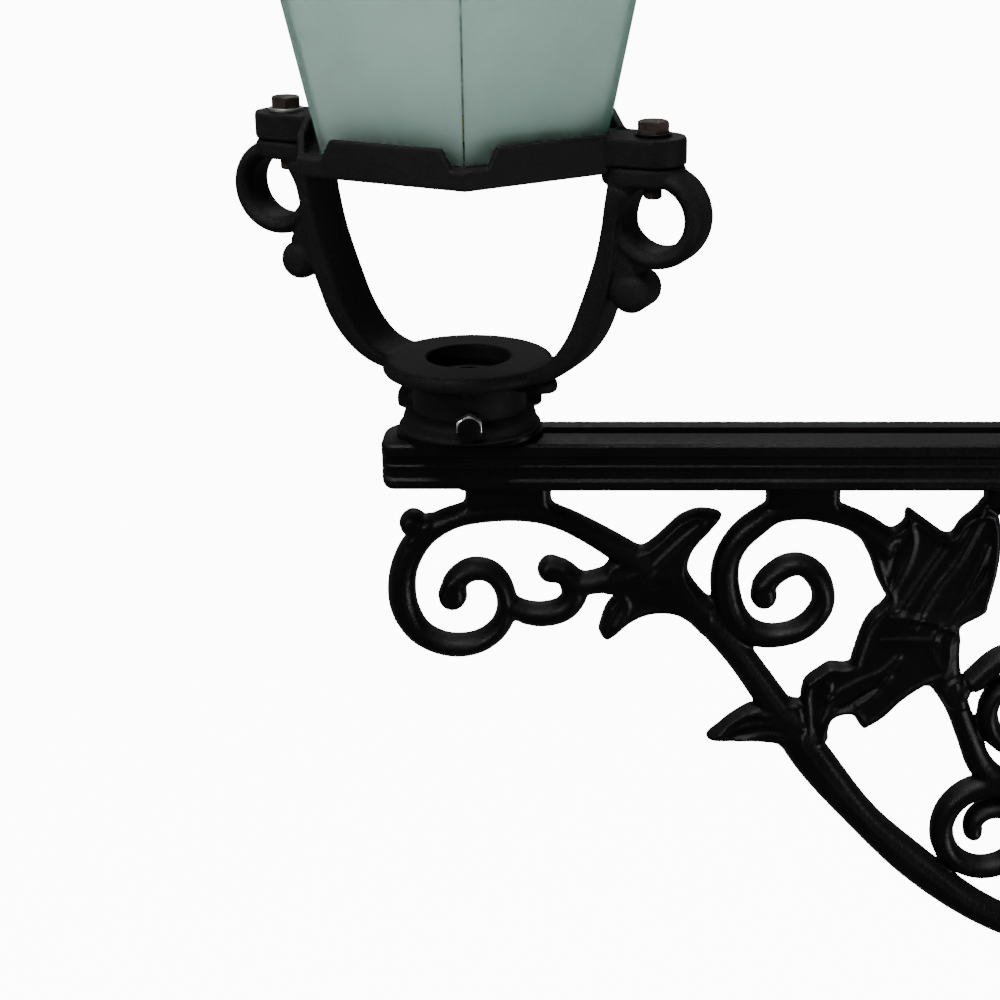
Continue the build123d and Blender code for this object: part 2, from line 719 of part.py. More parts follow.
cradle_inside = (
    (40, 0), (56, 1), (67, 7), (82, 21), (92, 37), (98, 52), (104, 72), (107, 92), (110, 111), (114, 127),
    (122, 140),
)
cradle_outside = ((56, -10), (66, -8), (75, -3), (86, 9), (96, 24), (104, 40), (112, 56), (119, 74))
with BuildPart() as cradle:
    with BuildSketch(lantern_plane(-disc_thick)):
        Circle(disc_radius)
        Circle(disc_hole, mode=Mode.SUBTRACT)
    extrude(amount=disc_thick)
    for angle in (cradle_angle, cradle_angle + 180):
        # strap arm
        with BuildSketch(upright_plane(angle)):
            with BuildLine():
                Spline(*cradle_inside)
                Line(cradle_inside[-1], (140, 140))
                Line((140, 140), (119, 74))
                Spline(*reversed(cradle_outside))
                Line((56, -10), (40, -10))
                Line((40, -10), (40, 0))
            make_face()
            with Locations((126, 60.5)):
                Circle(13.5)
            with Locations((ring_centre, ring_level)):
                Circle(ring_hole, mode=Mode.SUBTRACT)
        extrude(amount=strap_width / 2, both=True)
        # scroll ring
        with BuildSketch(upright_plane(angle)):
            with Locations((ring_centre, ring_level)):
                Circle(ring_radius)
                Circle(ring_hole, mode=Mode.SUBTRACT)
        extrude(amount=ring_width / 2, both=True)
        # pad that carries the tray lug
        with BuildSketch(lantern_plane(ring_level + ring_hole)):
            with Locations(Location((0, 0, 0), (0, 0, angle))):
                with Locations((lug_radius - 7, 0)):
                    SlotOverall(58, strap_width)
        extrude(amount=pad_level - ring_level - ring_hole)
    # tapped holes for the lug bolts, and the relief that clears the tray
    with BuildSketch(lantern_plane(ring_level)):
        with PolarLocations(lug_radius, 2, start_angle=cradle_angle):
            Circle(6.1)
    extrude(amount=60, mode=Mode.SUBTRACT)
    with BuildSketch(lantern_plane(tray_bottom - 0.5)):
        hexagon(tray_radius + 0.6)
    extrude(amount=30, mode=Mode.SUBTRACT)
    with BuildSketch(lantern_plane(-disc_thick)):
        Circle(disc_hole)
        with PolarLocations(cradle_bolt_radius, 2, start_angle=cradle_angle):
            Circle(4.2)
    extrude(amount=9, mode=Mode.SUBTRACT)

with BuildPart() as cradle_bolts:
    with BuildSketch(lantern_plane(-disc_thick - 8)):
        with PolarLocations(cradle_bolt_radius, 2, start_angle=cradle_angle):
            Circle(6.5)
    extrude(amount=cradle_bolt_head)
    with BuildSketch(lantern_plane(-disc_thick - 8)):
        with PolarLocations(cradle_bolt_radius, 2, start_angle=cradle_angle):
            Circle(4)
    extrude(amount=16)
    # hexagon sockets
    with BuildSketch(lantern_plane(-disc_thick - 8)):
        with PolarLocations(cradle_bolt_radius, 2, start_angle=cradle_angle):
            RegularPolygon(3, 6, major_radius=False)
    extrude(amount=3, mode=Mode.SUBTRACT)

with BuildPart() as lug_washers:
    with BuildSketch(lantern_plane(lug_top)):
        with PolarLocations(lug_radius, 2, start_angle=cradle_angle):
            Circle(12)
            Circle(6.1, mode=Mode.SUBTRACT)
    extrude(amount=2.5)

with BuildPart() as lug_bolts:
    for a in (cradle_angle, cradle_angle + 180):
        bolt(on_lantern(lug_top + 2.5, a, lug_radius), 19, 7.5, 6, 43)

# ---------------------------------------------------------------- tray, glass and crown

apothem = tray_radius * sqrt(3) / 2
with BuildPart() as tray:
    with BuildSketch(lantern_plane(tray_bottom)):
        hexagon(tray_radius)
    extrude(amount=tray_thick)
    # lips along each side, cut back further at one end than at the other
    for k in range(6):
        a = radians(lantern_turn + 60 * k)
        out = Vector(cos(a), sin(a), 0)
        along = Vector(-sin(a), cos(a), 0)
        start = Vector(-arm_reach, 0, disc_top + tray_bottom + tray_thick)
        start += out * apothem - along * (tray_radius / 2)
        with BuildSketch(Plane(origin=start, x_dir=along, z_dir=out)):
            with BuildLine():
                Polyline(
                    (18, 0), (25, lip_height), (106, lip_height), (113, 0), (113, -4), (18, -4), close=True,
                )
            make_face()
        extrude(amount=-lip_thick)
    # lugs
    with BuildSketch(lantern_plane(pad_level)):
        for a in (cradle_angle, cradle_angle + 180):
            with Locations(Location((0, 0, 0), (0, 0, a))):
                with Locations((lug_radius - 12, 0)):
                    SlotOverall(68, strap_width)
        hexagon(tray_radius - 16)
    extrude(amount=lug_top - pad_level)
    # glass seat inside the lips, and the underside hollow
    with BuildSketch(lantern_plane(tray_bottom + tray_thick)):
        hexagon((apothem - lip_thick) * 2 / sqrt(3))
    extrude(amount=40, mode=Mode.SUBTRACT)
    with BuildSketch(lantern_plane(tray_bottom)):
        hexagon(tray_radius - 30)
    extrude(amount=7, mode=Mode.SUBTRACT)
    with BuildSketch(lantern_plane(tray_bottom)):
        Circle(10)
        with PolarLocations(lug_radius, 2, start_angle=cradle_angle):
            Circle(6.5)
    extrude(amount=60, mode=Mode.SUBTRACT)

with BuildPart() as tray_gland:
    with BuildSketch(lantern_plane(tray_bottom + 7)):
        Circle(9.9)
    extrude(amount=20)
    with BuildSketch(lantern_plane(tray_bottom + 7 - 10)):
        RegularPolygon(13, 6, major_radius=False)
    extrude(amount=10)
    with BuildSketch(lantern_plane(tray_bottom - 10)):
        Circle(6)
    extrude(amount=60, mode=Mode.SUBTRACT)

pane_lean = glass_slope * sqrt(3) / 2
pane_plane_height = hypot(glass_height, pane_lean * glass_height)
pane_angle = atan(pane_lean)


def pane_plane(k, depth):
    """The outer face of pane k moved inwards by depth; its x runs along the bottom edge."""
    a = radians(lantern_turn + 60 * k)
    out = Vector(cos(a), sin(a), 0)
    along = Vector(-sin(a), cos(a), 0)
    face = out * cos(pane_angle) - Vector(0, 0, 1) * sin(pane_angle)
    foot = Vector(-arm_reach, 0, disc_top + glass_level) + out * (glass_radius * sqrt(3) / 2)
    return Plane(origin=foot - face * depth, x_dir=along, z_dir=face)


def pane_solid(k):
    """One pane with mitred sides."""
    faces = []
    for depth in (0, glass_thick):
        with BuildSketch(pane_plane(k, depth)) as face:
            mitre = depth * tan(radians(30)) / cos(pane_angle) + 0.6
            low = glass_radius / 2 - mitre
            high = (glass_radius + glass_slope * glass_height) / 2 - mitre
            add_outline([(-low, 0), (low, 0), (high, pane_plane_height), (-high, pane_plane_height)])
        faces.append(face.sketch.face())
    loft(faces)


with BuildPart() as pane_right:
    pane_solid(0)

with BuildPart() as pane_back_right:
    pane_solid(1)

with BuildPart() as pane_back_left:
    pane_solid(2)

with BuildPart() as pane_left:
    pane_solid(3)

with BuildPart() as pane_front_left:
    pane_solid(4)

with BuildPart() as pane_front_right:
    pane_solid(5)

with BuildPart() as tray_gasket:
    with BuildSketch(lantern_plane(tray_bottom + tray_thick)):
        hexagon(glass_radius + 1)
    extrude(amount=0.9)
    with BuildSketch(lantern_plane(tray_bottom + tray_thick)):
        hexagon(glass_radius - 12)
    extrude(amount=3, mode=Mode.SUBTRACT)

crown_radius = 212
catch_out = 208          # thumb screw and hinge, from the lantern axis
hinge_out = 208
hinge_level = roof_level + 5
hinge_places = (-52, 52)
with BuildPart() as crown_frame:
    with BuildSketch(lantern_plane(crown_level)):
        hexagon(crown_radius)
    extrude(amount=26)
    with BuildSketch(lantern_plane(crown_level)):
        hexagon(crown_radius - 8)
    extrude(amount=13, mode=Mode.SUBTRACT)
    with BuildSketch(lantern_plane(crown_level)):
        hexagon(crown_radius - 36)
    extrude(amount=40, mode=Mode.SUBTRACT)
    # lug for the thumb screw
    with BuildSketch(lantern_plane(crown_level + 14)):
        with Locations((catch_out - 12, 0)):
            SlotOverall(54, 24)
        hexagon(crown_radius - 12, mode=Mode.SUBTRACT)
        with Locations((catch_out, 0)):
            Circle(4.6, mode=Mode.SUBTRACT)
    extrude(amount=12)
    # fixed knuckles of the roof hinge
    for offset in hinge_places:
        for side in (-14.5, 14.5):
            with BuildSketch(upright_plane(180, offset + side - 6.5)):
                with Locations((hinge_out, hinge_level)):
                    Circle(7)
                with Locations((hinge_out, hinge_level - 12)):
                    Rectangle(14, 24)
                with Locations((hinge_out - 14, crown_level + 18)):
                    Rectangle(42, 9)
                with Locations((hinge_out, hinge_level)):
                    Circle(4, mode=Mode.SUBTRACT)
            extrude(amount=13)

rod_low = (86, tray_bottom + tray_thick)
rod_high = (86 + glass_slope * (crown_level + 13 - tray_bottom - tray_thick), crown_level + 13)
with BuildPart() as tie_rods:
    for a in (30, 90, 150):
        with BuildSketch(upright_plane(a)):
            add_outline([
                (rod_low[0] - 4, rod_low[1]), (rod_low[0] + 4, rod_low[1]),
                (rod_high[0] + 4, rod_high[1]), (rod_high[0] - 4, rod_high[1]),
            ])
        extrude(amount=4, both=True)

# ---------------------------------------------------------------- lamp

with BuildPart() as lamp_bridge:
    with BuildSketch(lantern_plane(crown_level + 26)):
        Rectangle(2 * (crown_radius - 30) * sqrt(3) / 2, 36)
        Circle(8, mode=Mode.SUBTRACT)
    extrude(amount=3)

with BuildPart() as lampholder:
    with BuildSketch(lantern_plane(crown_level + 26 - 52)):
        Circle(24)
    extrude(amount=52)
    with BuildSketch(lantern_plane(crown_level + 26 - 60)):
        Circle(15)
    extrude(amount=40, mode=Mode.SUBTRACT)

with BuildPart() as reflector:
    with BuildSketch(upright_plane(0)):
        with BuildLine():
            Polyline((24.3, 545), (120, 500), (120, 497), (24.3, 542), close=True)
        make_face()
    revolve(axis=Axis(origin=(-arm_reach, 0, 0), direction=(0, 0, 1)))

with BuildPart() as lamp:
    with BuildSketch(upright_plane(0)):
        with BuildLine():
            Line((0, 549), (13.5, 549))
            Line((13.5, 549), (13.5, 518))
            ThreePointArc((13.5, 518), (20, 500), (32, 480))
            ThreePointArc((32, 480), (30, 452), (8, 433))
            Line((8, 433), (0, 433))
            Line((0, 433), (0, 549))
        make_face()
    revolve(axis=Axis(origin=(-arm_reach, 0, 0), direction=(0, 0, 1)))

# ---------------------------------------------------------------- roof

eave = 226
with BuildPart() as roof_shell:
    sections = ((0, eave), (10, eave), (40, 172), (95, 124), (150, 92), (roof_height, 74))
    for low, high in zip(sections[:-1], sections[1:]):
        with BuildSketch(lantern_plane(roof_level + low[0])):
            hexagon(low[1])
        with BuildSketch(lantern_plane(roof_level + high[0])):
            hexagon(high[1])
        loft()
    for low, high in zip(sections[1:-1], sections[2:]):
        with BuildSketch(lantern_plane(roof_level + low[0] - 4)):
            hexagon(low[1] - 4)
        with BuildSketch(lantern_plane(roof_level + high[0] - 4)):
            hexagon(high[1] - 4)
        loft(mode=Mode.SUBTRACT)
    with BuildSketch(lantern_plane(roof_level)):
        hexagon(eave - 4)
    extrude(amount=6.01, mode=Mode.SUBTRACT)
    with BuildSketch(lantern_plane(roof_level + roof_height - 5)):
        Circle(48)
    extrude(amount=10, mode=Mode.SUBTRACT)
    # lug for the thumb screw
    with BuildSketch(lantern_plane(roof_level + 0.5)):
        with Locations((catch_out - 8, 0)):
            SlotOverall(46, 24)
        hexagon(eave - 10, mode=Mode.SUBTRACT)
        with Locations((catch_out, 0)):
            Circle(4.05, mode=Mode.SUBTRACT)
    extrude(amount=5)
    # moving knuckles of the hinge, on the side away from the screw
    for offset in hinge_places:
        with BuildSketch(upright_plane(180, offset - 7)):
            with Locations((hinge_out, hinge_level)):
                Circle(7)
            with Locations((hinge_out - 10, hinge_level)):
                Rectangle(20, 7)
            with Locations((hinge_out, hinge_level)):
                Circle(4.05, mode=Mode.SUBTRACT)
        extrude(amount=14)

with BuildPart() as vent_drum:
    with BuildSketch(lantern_plane(roof_level + roof_height)):
        Circle(56)
        Circle(48, mode=Mode.SUBTRACT)
    extrude(amount=44)
    with Locations(lantern_plane(roof_level + roof_height + 22).location):
        for a in range(0, 360, 45):
            with Locations(Location((0, 0, 0), (0, 0, a)) * Location((52, 0, 0), (0, 90, 0))):
                Cylinder(8, 30, mode=Mode.SUBTRACT)

roof_axis = Axis(origin=(-arm_reach, 0, 0), direction=(0, 0, 1))
cap_low = roof_level + roof_height + 44
with BuildPart() as vent_cap:
    with BuildSketch(upright_plane(0)):
        with BuildLine():
            Line((0, cap_low), (72, cap_low))
            ThreePointArc((72, cap_low), (76, cap_low + 5), (72, cap_low + 10))
            ThreePointArc((72, cap_low + 10), (48, cap_low + 34), (16, cap_low + 46))
            Line((16, cap_low + 46), (0, cap_low + 46))
            Line((0, cap_low + 46), (0, cap_low))
        make_face()
    revolve(axis=roof_axis)

with BuildPart() as roof_finial:
    with BuildSketch(upright_plane(0)):
        with BuildLine():
            low = cap_low + 46
            Line((0, low), (16, low))
            ThreePointArc((16, low), (11, low + 6), (9, low + 14))
            ThreePointArc((9, low + 14), (17, low + 20.5), (20, low + 31))
            ThreePointArc((20, low + 31), (16.5, low + 43), (8, low + 50))
            Line((8, low + 50), (6, low + 60))
            ThreePointArc((6, low + 60), (5, low + 64), (2, low + 66))
            Line((2, low + 66), (0, low + 66))
            Line((0, low + 66), (0, low))
        make_face()
    revolve(axis=roof_axis)

with BuildPart() as hinge_pins:
    for offset in hinge_places:
        with BuildSketch(upright_plane(180, offset - 22)):
            with Locations((hinge_out, hinge_level)):
                Circle(4)
        extrude(amount=44)

with BuildPart() as thumb_screw:
    with BuildSketch(lantern_plane(crown_level + 12)):
        with Locations((catch_out, 0)):
            Circle(4)
    extrude(amount=30)
    with BuildSketch(lantern_plane(roof_level + 6)):
        with Locations((catch_out, 0)):
            Circle(8)
    extrude(amount=9)
    with BuildSketch(lantern_plane(roof_level + 15)):
        with Locations((catch_out, 0)):
            SlotOverall(26, 6)
    extrude(amount=16)

# ---------------------------------------------------------------- export

all_parts = dict(
    base_plate=base_plate,
    base_casting=base_casting, base_bolts=base_bolts, base_cornice=base_cornice, foot_ring=foot_ring,
    lower_shaft=lower_shaft, middle_collar=middle_collar, upper_shaft=upper_shaft, capital=capital,
    post_finial=post_finial, backboard=backboard, fuse_box=fuse_box, fuse_carrier=fuse_carrier,
    service_gland=service_gland, earth_stud=earth_stud, access_door=access_door,
    door_hinge_pins=door_hinge_pins, door_lock=door_lock, bracket_beam=bracket_beam, spigot=spigot,
    scroll_panel=scroll_panel, panel_screws=panel_screws,
    clamp_upper_front=clamp_upper_front, clamp_upper_rear=clamp_upper_rear,
    clamp_lower_front=clamp_lower_front, clamp_lower_rear=clamp_lower_rear, clamp_bolts=clamp_bolts,
    clamp_nuts=clamp_nuts, arm_bolts=arm_bolts, swivel_collar=swivel_collar,
    collar_screws=collar_screws, cradle=cradle, cradle_bolts=cradle_bolts, lug_washers=lug_washers,
    lug_bolts=lug_bolts, tray=tray, tray_gland=tray_gland, tray_gasket=tray_gasket,
    pane_right=pane_right, pane_back_right=pane_back_right, pane_back_left=pane_back_left,
    pane_left=pane_left, pane_front_left=pane_front_left, pane_front_right=pane_front_right,
    crown_frame=crown_frame, tie_rods=tie_rods, lamp_bridge=lamp_bridge, lampholder=lampholder,
    reflector=reflector, lamp=lamp, roof_shell=roof_shell, vent_drum=vent_drum, vent_cap=vent_cap,
    roof_finial=roof_finial,
    hinge_pins=hinge_pins, thumb_screw=thumb_screw,
)
for label, builder in all_parts.items():
    builder.part.label = label
    export_step(builder.part, f"parts/{label}.step")
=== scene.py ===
import json
from math import atan, atan2, copysign, cos, hypot, pi, radians, sin, sqrt, tan

import bmesh
import bpy
import numpy as np
from mathutils import Matrix, Vector


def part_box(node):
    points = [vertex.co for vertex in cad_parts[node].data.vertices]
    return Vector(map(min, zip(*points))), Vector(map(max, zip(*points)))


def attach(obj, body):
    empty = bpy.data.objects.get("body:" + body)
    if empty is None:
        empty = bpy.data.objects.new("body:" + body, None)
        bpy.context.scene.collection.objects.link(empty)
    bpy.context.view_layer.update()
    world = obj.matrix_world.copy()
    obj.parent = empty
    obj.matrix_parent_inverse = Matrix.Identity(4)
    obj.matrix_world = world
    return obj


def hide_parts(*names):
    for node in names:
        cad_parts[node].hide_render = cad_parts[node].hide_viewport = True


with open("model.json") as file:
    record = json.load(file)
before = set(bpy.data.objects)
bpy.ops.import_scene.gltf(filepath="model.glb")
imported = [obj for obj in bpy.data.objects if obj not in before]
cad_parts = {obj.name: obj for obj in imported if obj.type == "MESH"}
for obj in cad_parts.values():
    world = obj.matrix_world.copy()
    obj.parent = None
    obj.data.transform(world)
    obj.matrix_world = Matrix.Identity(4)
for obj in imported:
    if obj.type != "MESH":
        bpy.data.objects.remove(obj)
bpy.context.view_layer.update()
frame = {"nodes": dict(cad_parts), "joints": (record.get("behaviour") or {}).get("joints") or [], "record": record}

# ---- places, all from the frame

MM = 0.001
joints = {joint["name"]: joint for joint in frame["joints"]}
AXIS_X = joints["lantern_swivel"]["pos_m"][0]
HINGE_AXIS = joints["roof_hinge"]["axis"]
TURN = atan2(HINGE_AXIS[0], -HINGE_AXIS[1])
PAD_TOP = 145            # top of the cradle pads above the disc, millimetres
DISC_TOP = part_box("cradle")[1].z - PAD_TOP * MM

# Shapes are drawn in millimetres in one of three places, then moved into the frame.
ARM = Matrix.Translation((AXIS_X, 0, DISC_TOP)) @ Matrix.Scale(MM, 4)
LANTERN = Matrix.Translation((AXIS_X, 0, DISC_TOP)) @ Matrix.Rotation(TURN, 4, "Z") @ Matrix.Scale(MM, 4)
POST = Matrix.Scale(MM, 4)
STAND = Matrix.Rotation(pi / 2, 4, "X")
FACE_OUT = Matrix.Rotation(pi / 2, 4, "Y")

# ---- materials


def node_material(name):
    """A new material, its node tree and its shader."""
    material = bpy.data.materials.new(name)
    material.use_nodes = True
    tree = material.node_tree
    return material, tree, tree.nodes["Principled BSDF"]


def add_noise(tree, scale, detail=4.0, rough=0.55, stretch=None):
    """Noise in object coordinates, in waves per metre."""
    place = tree.nodes.new("ShaderNodeTexCoord")
    noise = tree.nodes.new("ShaderNodeTexNoise")
    noise.inputs["Scale"].default_value = scale
    noise.inputs["Detail"].default_value = detail
    noise.inputs["Roughness"].default_value = rough
    source = place.outputs["Object"]
    if stretch:
        mapping = tree.nodes.new("ShaderNodeMapping")
        mapping.inputs["Scale"].default_value = stretch
        tree.links.new(source, mapping.inputs["Vector"])
        source = mapping.outputs["Vector"]
    tree.links.new(source, noise.inputs["Vector"])
    return noise.outputs["Fac"]


def add_ramp(tree, factor, stops):
    """A colour ramp over a factor; stops are (place, colour or grey)."""
    ramp = tree.nodes.new("ShaderNodeValToRGB")
    tree.links.new(factor, ramp.inputs["Fac"])
    points = ramp.color_ramp.elements
    while len(points) < len(stops):
        points.new(0.5)
    for point, (place, colour) in zip(points, stops):
        point.position = place
        point.color = (*colour, 1) if isinstance(colour, tuple) else (colour, colour, colour, 1)
    return ramp.outputs["Color"]


def add_mix(tree, factor, first, second):
    """Mixes two colours; each input is a socket or a constant."""
    mix = tree.nodes.new("ShaderNodeMix")
    mix.data_type = "RGBA"
    for socket, value in ((mix.inputs[0], factor), (mix.inputs[6], first), (mix.inputs[7], second)):
        if isinstance(value, bpy.types.NodeSocket):
            tree.links.new(value, socket)
        elif isinstance(value, tuple):
            socket.default_value = (*value, 1)
        else:
            socket.default_value = value
    return mix.outputs[2]


def add_bumps(tree, shader, layers):
    """Bump layers, each (height socket, distance in metres, strength)."""
    last = None
    for height, distance, strength in layers:
        bump = tree.nodes.new("ShaderNodeBump")
        bump.inputs["Distance"].default_value = distance
        bump.inputs["Strength"].default_value = strength
        tree.links.new(height, bump.inputs["Height"])
        if last:
            tree.links.new(last, bump.inputs["Normal"])
        last = bump.outputs["Normal"]
    tree.links.new(last, shader.inputs["Normal"])


def upward(tree, start, full):
    """One where the surface looks up, nothing where it doesn't."""
    geometry = tree.nodes.new("ShaderNodeNewGeometry")
    split = tree.nodes.new("ShaderNodeSeparateXYZ")
    tree.links.new(geometry.outputs["Normal"], split.inputs[0])
    spread = tree.nodes.new("ShaderNodeMapRange")
    spread.interpolation_type = "SMOOTHSTEP"
    spread.inputs["From Min"].default_value = start
    spread.inputs["From Max"].default_value = full
    tree.links.new(split.outputs["Z"], spread.inputs["Value"])
    return spread.outputs["Result"]


def times(tree, first, second):
    """The product of two values; each is a socket or a constant."""
    product = tree.nodes.new("ShaderNodeMath")
    product.operation = "MULTIPLY"
    for socket, value in zip(product.inputs, (first, second)):
        if isinstance(value, bpy.types.NodeSocket):
            tree.links.new(value, socket)
        else:
            socket.default_value = value
    return product.outputs[0]


def iron(name, low, high, dust_and_top_light, rough, specular):
    """Black paint over cast iron: grainy, worn in specks, and lighter where it looks up, partly dust and partly
    painted top light.
    """
    material, tree, shader = node_material(name)
    patches = add_noise(tree, 26, 6)
    grain = add_noise(tree, 620, 3)
    pits = add_noise(tree, 170, 5, 0.6)
    deep, thin = (low, low, low * 1.04), (high, high * 0.98, high * 0.97)
    paint = add_ramp(tree, patches, ((0.3, deep), (0.7, thin)))
    # Surfaces that look up are mixed toward a pale grey: partly dust, partly painted light from above.
    dust_and_top_light_mask = times(tree, upward(tree, 0.35, 0.97), add_ramp(tree, pits, ((0.3, 0.45), (0.7, 1.0))))
    dust_and_top_light_colour = add_mix(tree, times(tree, dust_and_top_light_mask, 0.8), paint, (dust_and_top_light, dust_and_top_light * 0.97, dust_and_top_light * 0.92))
    specks = add_ramp(tree, add_noise(tree, 240, 8, 0.7), ((0.66, 0.0), (0.73, 1.0)))
    worn = add_mix(tree, times(tree, specks, 0.4), dust_and_top_light_colour, (dust_and_top_light * 1.6, dust_and_top_light * 1.5, dust_and_top_light * 1.4))
    tree.links.new(worn, shader.inputs["Base Color"])
    gloss = add_ramp(tree, patches, ((0.25, rough), (0.75, rough + 0.14)))
    tree.links.new(add_mix(tree, dust_and_top_light_mask, gloss, (0.62, 0.62, 0.62)), shader.inputs["Roughness"])
    shader.inputs["Specular IOR Level"].default_value = specular
    add_bumps(tree, shader, ((pits, 0.0009, 0.5), (grain, 0.0004, 0.45)))
    return material


def two_tone(name, noise, first, second, rough, rougher, grain, spread=0.2):
    """A material that wanders between two colours and two roughnesses, finely grained."""
    material, tree, shader = node_material(name)
    change = add_noise(tree, *noise)
    tone = add_ramp(tree, change, ((0.5 - spread, first), (0.5 + spread, second)))
    tree.links.new(tone, shader.inputs["Base Color"])
    tree.links.new(add_ramp(tree, change, ((0.3, rough), (0.7, rougher))), shader.inputs["Roughness"])
    scale, detail, depth, strength = grain
    add_bumps(tree, shader, ((add_noise(tree, scale, detail), depth, strength),))
    return material, shader


def metal(name, bright, dull, rough=0.35, metallic=1.0, grain=500, depth=0.0002):
    """A plated or bare metal, in blotches."""
    material, shader = two_tone(
        name, (95, 6, 0.65), bright, dull, rough, rough + 0.25, (grain, 4, depth, 0.6), 0.14)
    shader.inputs["Metallic"].default_value = metallic
    return material


def plain(name, light, dark, rough, scale=60, depth=0.0002, stretch=None, coat=0.0):
    """A non-metal with a soft change of colour."""
    material, shader = two_tone(
        name, (scale, 5, 0.6, stretch), light, dark, rough, rough + 0.12, (800, 3, depth, 0.5))
    shader.inputs["Coat Weight"].default_value = coat
    return material


def glass(name, light, dark, transmission=0.55, rough=0.5):
    """Frosted glass, cloudy from one place to the next."""
    material, shader = two_tone(name, (9, 3), light, dark, rough, rough + 0.1, (700, 2, 0.00015, 0.35))
    shader.inputs["Transmission Weight"].default_value = transmission
    shader.inputs["IOR"].default_value = 1.3
    shader.inputs["Specular IOR Level"].default_value = 0.25
    return material


# The fourth number is the grey of dust and painted top light on surfaces that look up.
IRON = iron("iron_gloss", 0.0012, 0.0030, 0.012, 0.30, 0.20)
IRON_SATIN = iron("iron_satin", 0.0085, 0.0140, 0.0125, 0.50, 0.09)
ZINC = metal("zinc_steel", (0.55, 0.55, 0.54), (0.30, 0.29, 0.28))
BRIGHT = metal("bright_steel", (0.85, 0.85, 0.85), (0.60, 0.60, 0.58), 0.2)
RUST = metal("rusty_steel", (0.060, 0.036, 0.026), (0.020, 0.014, 0.012), 0.5, 0.35, 260, 0.0006)
BRASS = metal("brass", (0.62, 0.45, 0.18), (0.36, 0.25, 0.10), 0.32)
RUBBER = plain("rubber_seal", (0.012, 0.012, 0.012), (0.025, 0.025, 0.025), 0.75)
GREY_PLASTIC = plain("plastic_grey", (0.11, 0.115, 0.12), (0.14, 0.145, 0.15), 0.5)
WHITE_PLASTIC = plain("plastic_white", (0.72, 0.72, 0.69), (0.64, 0.64, 0.60), 0.42)
BOARD = plain("board", (0.30, 0.19, 0.10), (0.16, 0.09, 0.045), 0.5, 22, 0.0004, (14, 14, 1.0), 0.3)
PORCELAIN = plain("porcelain", (0.80, 0.79, 0.75), (0.70, 0.69, 0.65), 0.12, 30, 0.00005, None, 0.6)
ENAMEL = plain("enamel_white", (0.82, 0.82, 0.79), (0.70, 0.70, 0.67), 0.2, 30, 0.00008, None, 0.5)
GLASS = glass("frosted_glass", (0.435, 0.545, 0.505), (0.36, 0.465, 0.43))
GLASS_EDGE = glass("glass_edge", (0.03, 0.20, 0.17), (0.02, 0.14, 0.12), 0.3, 0.3)
OPAL = glass("lamp_glass", (0.85, 0.85, 0.82), (0.78, 0.78, 0.75), 0.35, 0.35)
SLOT_MATERIALS = {
    "iron_black": IRON, "zinc_steel": ZINC, "rusty_steel": RUST, "frosted_glass": GLASS,
    "rubber_seal": RUBBER, "brass": BRASS, "plastic_grey": GREY_PLASTIC, "plastic_white": WHITE_PLASTIC,
    "board": BOARD, "porcelain": PORCELAIN, "enamel_white": ENAMEL, "lamp_glass": OPAL,
}
slot_of = {part["node"]: part["material_slot"] for part in frame["record"]["subparts"]}
bodies = frame["record"]["behaviour"]["bodies"]
body_of = {node: body for body, nodes in bodies.items() for node in nodes}


def finish_of(node):
    """The lantern's iron has duller paint than the post and the bracket."""
    if slot_of[node] == "iron_black" and body_of[node] in ("lantern", "roof"):
        return IRON_SATIN
    return SLOT_MATERIALS[slot_of[node]]


for node, obj in frame["nodes"].items():
    obj.data.materials.clear()
    obj.data.materials.append(finish_of(node))

# ---- mesh building


def placed(name, data):
    """An object in the scene around its data."""
    obj = bpy.data.objects.new(name, data)
    bpy.context.scene.collection.objects.link(obj)
    return obj


def mesh_of(verts, faces):
    """A mesh from points and faces."""
    mesh = bpy.data.meshes.new("mesh")
    mesh.from_pydata([tuple(v) for v in verts], [], faces)
    mesh.update()
    return mesh


def skin(rows, closed=False, ends=True):
    """A mesh over rows of points: every row is a loop, joined to the next row."""
    count = len(rows[0])
    faces = []
    for i in range(len(rows) if closed else len(rows) - 1):
        j = (i + 1) % len(rows)
        for k in range(count):
            m = (k + 1) % count
            faces.append((i * count + k, i * count + m, j * count + m, j * count + k))
    if ends and not closed:
        last = (len(rows) - 1) * count
        faces += [tuple(range(count))[::-1], tuple(range(last, last + count))]
    return mesh_of([point for row in rows for point in row], faces)


def joined(*meshes):
    """Several meshes as one."""
    whole = bmesh.new()
    for mesh in meshes:
        whole.from_mesh(mesh)
    result = bpy.data.meshes.new("mesh")
    whole.to_mesh(result)
    whole.free()
    return result


def moved(mesh, matrix):
    """The same mesh in a new place, with its faces still outward."""
    mesh.transform(matrix)
    if matrix.determinant() < 0:
        mesh.flip_normals()
    return mesh


def worked(mesh, *steps):
    """A mesh after modifiers, each (type, settings)."""
    obj = placed("work", mesh)
    for kind, settings in steps:
        modifier = obj.modifiers.new(kind, kind)
        for key, value in settings.items():
            setattr(modifier, key, value)
    graph = bpy.context.evaluated_depsgraph_get()
    result = bpy.data.meshes.new_from_object(obj.evaluated_get(graph))
    bpy.data.objects.remove(obj)
    return result


def bevelled(mesh, width, segments=3, angle=30):
    """A mesh with the edges rounded that turn by more than the angle."""
    return worked(mesh, ("BEVEL", dict(
        width=width, segments=segments, limit_method="ANGLE", angle_limit=radians(angle),
        miter_outer="MITER_ARC")))


def cast(mesh, smooth, faces=150000):
    """Melts crossing solids into one casting with small fillets."""
    mesh = worked(mesh, ("REMESH", dict(mode="VOXEL", voxel_size=1.0)),
                  ("SMOOTH", dict(factor=0.5, iterations=smooth)))
    if len(mesh.polygons) > faces:
        mesh = worked(mesh, ("DECIMATE", dict(ratio=faces / len(mesh.polygons))))
    return mesh


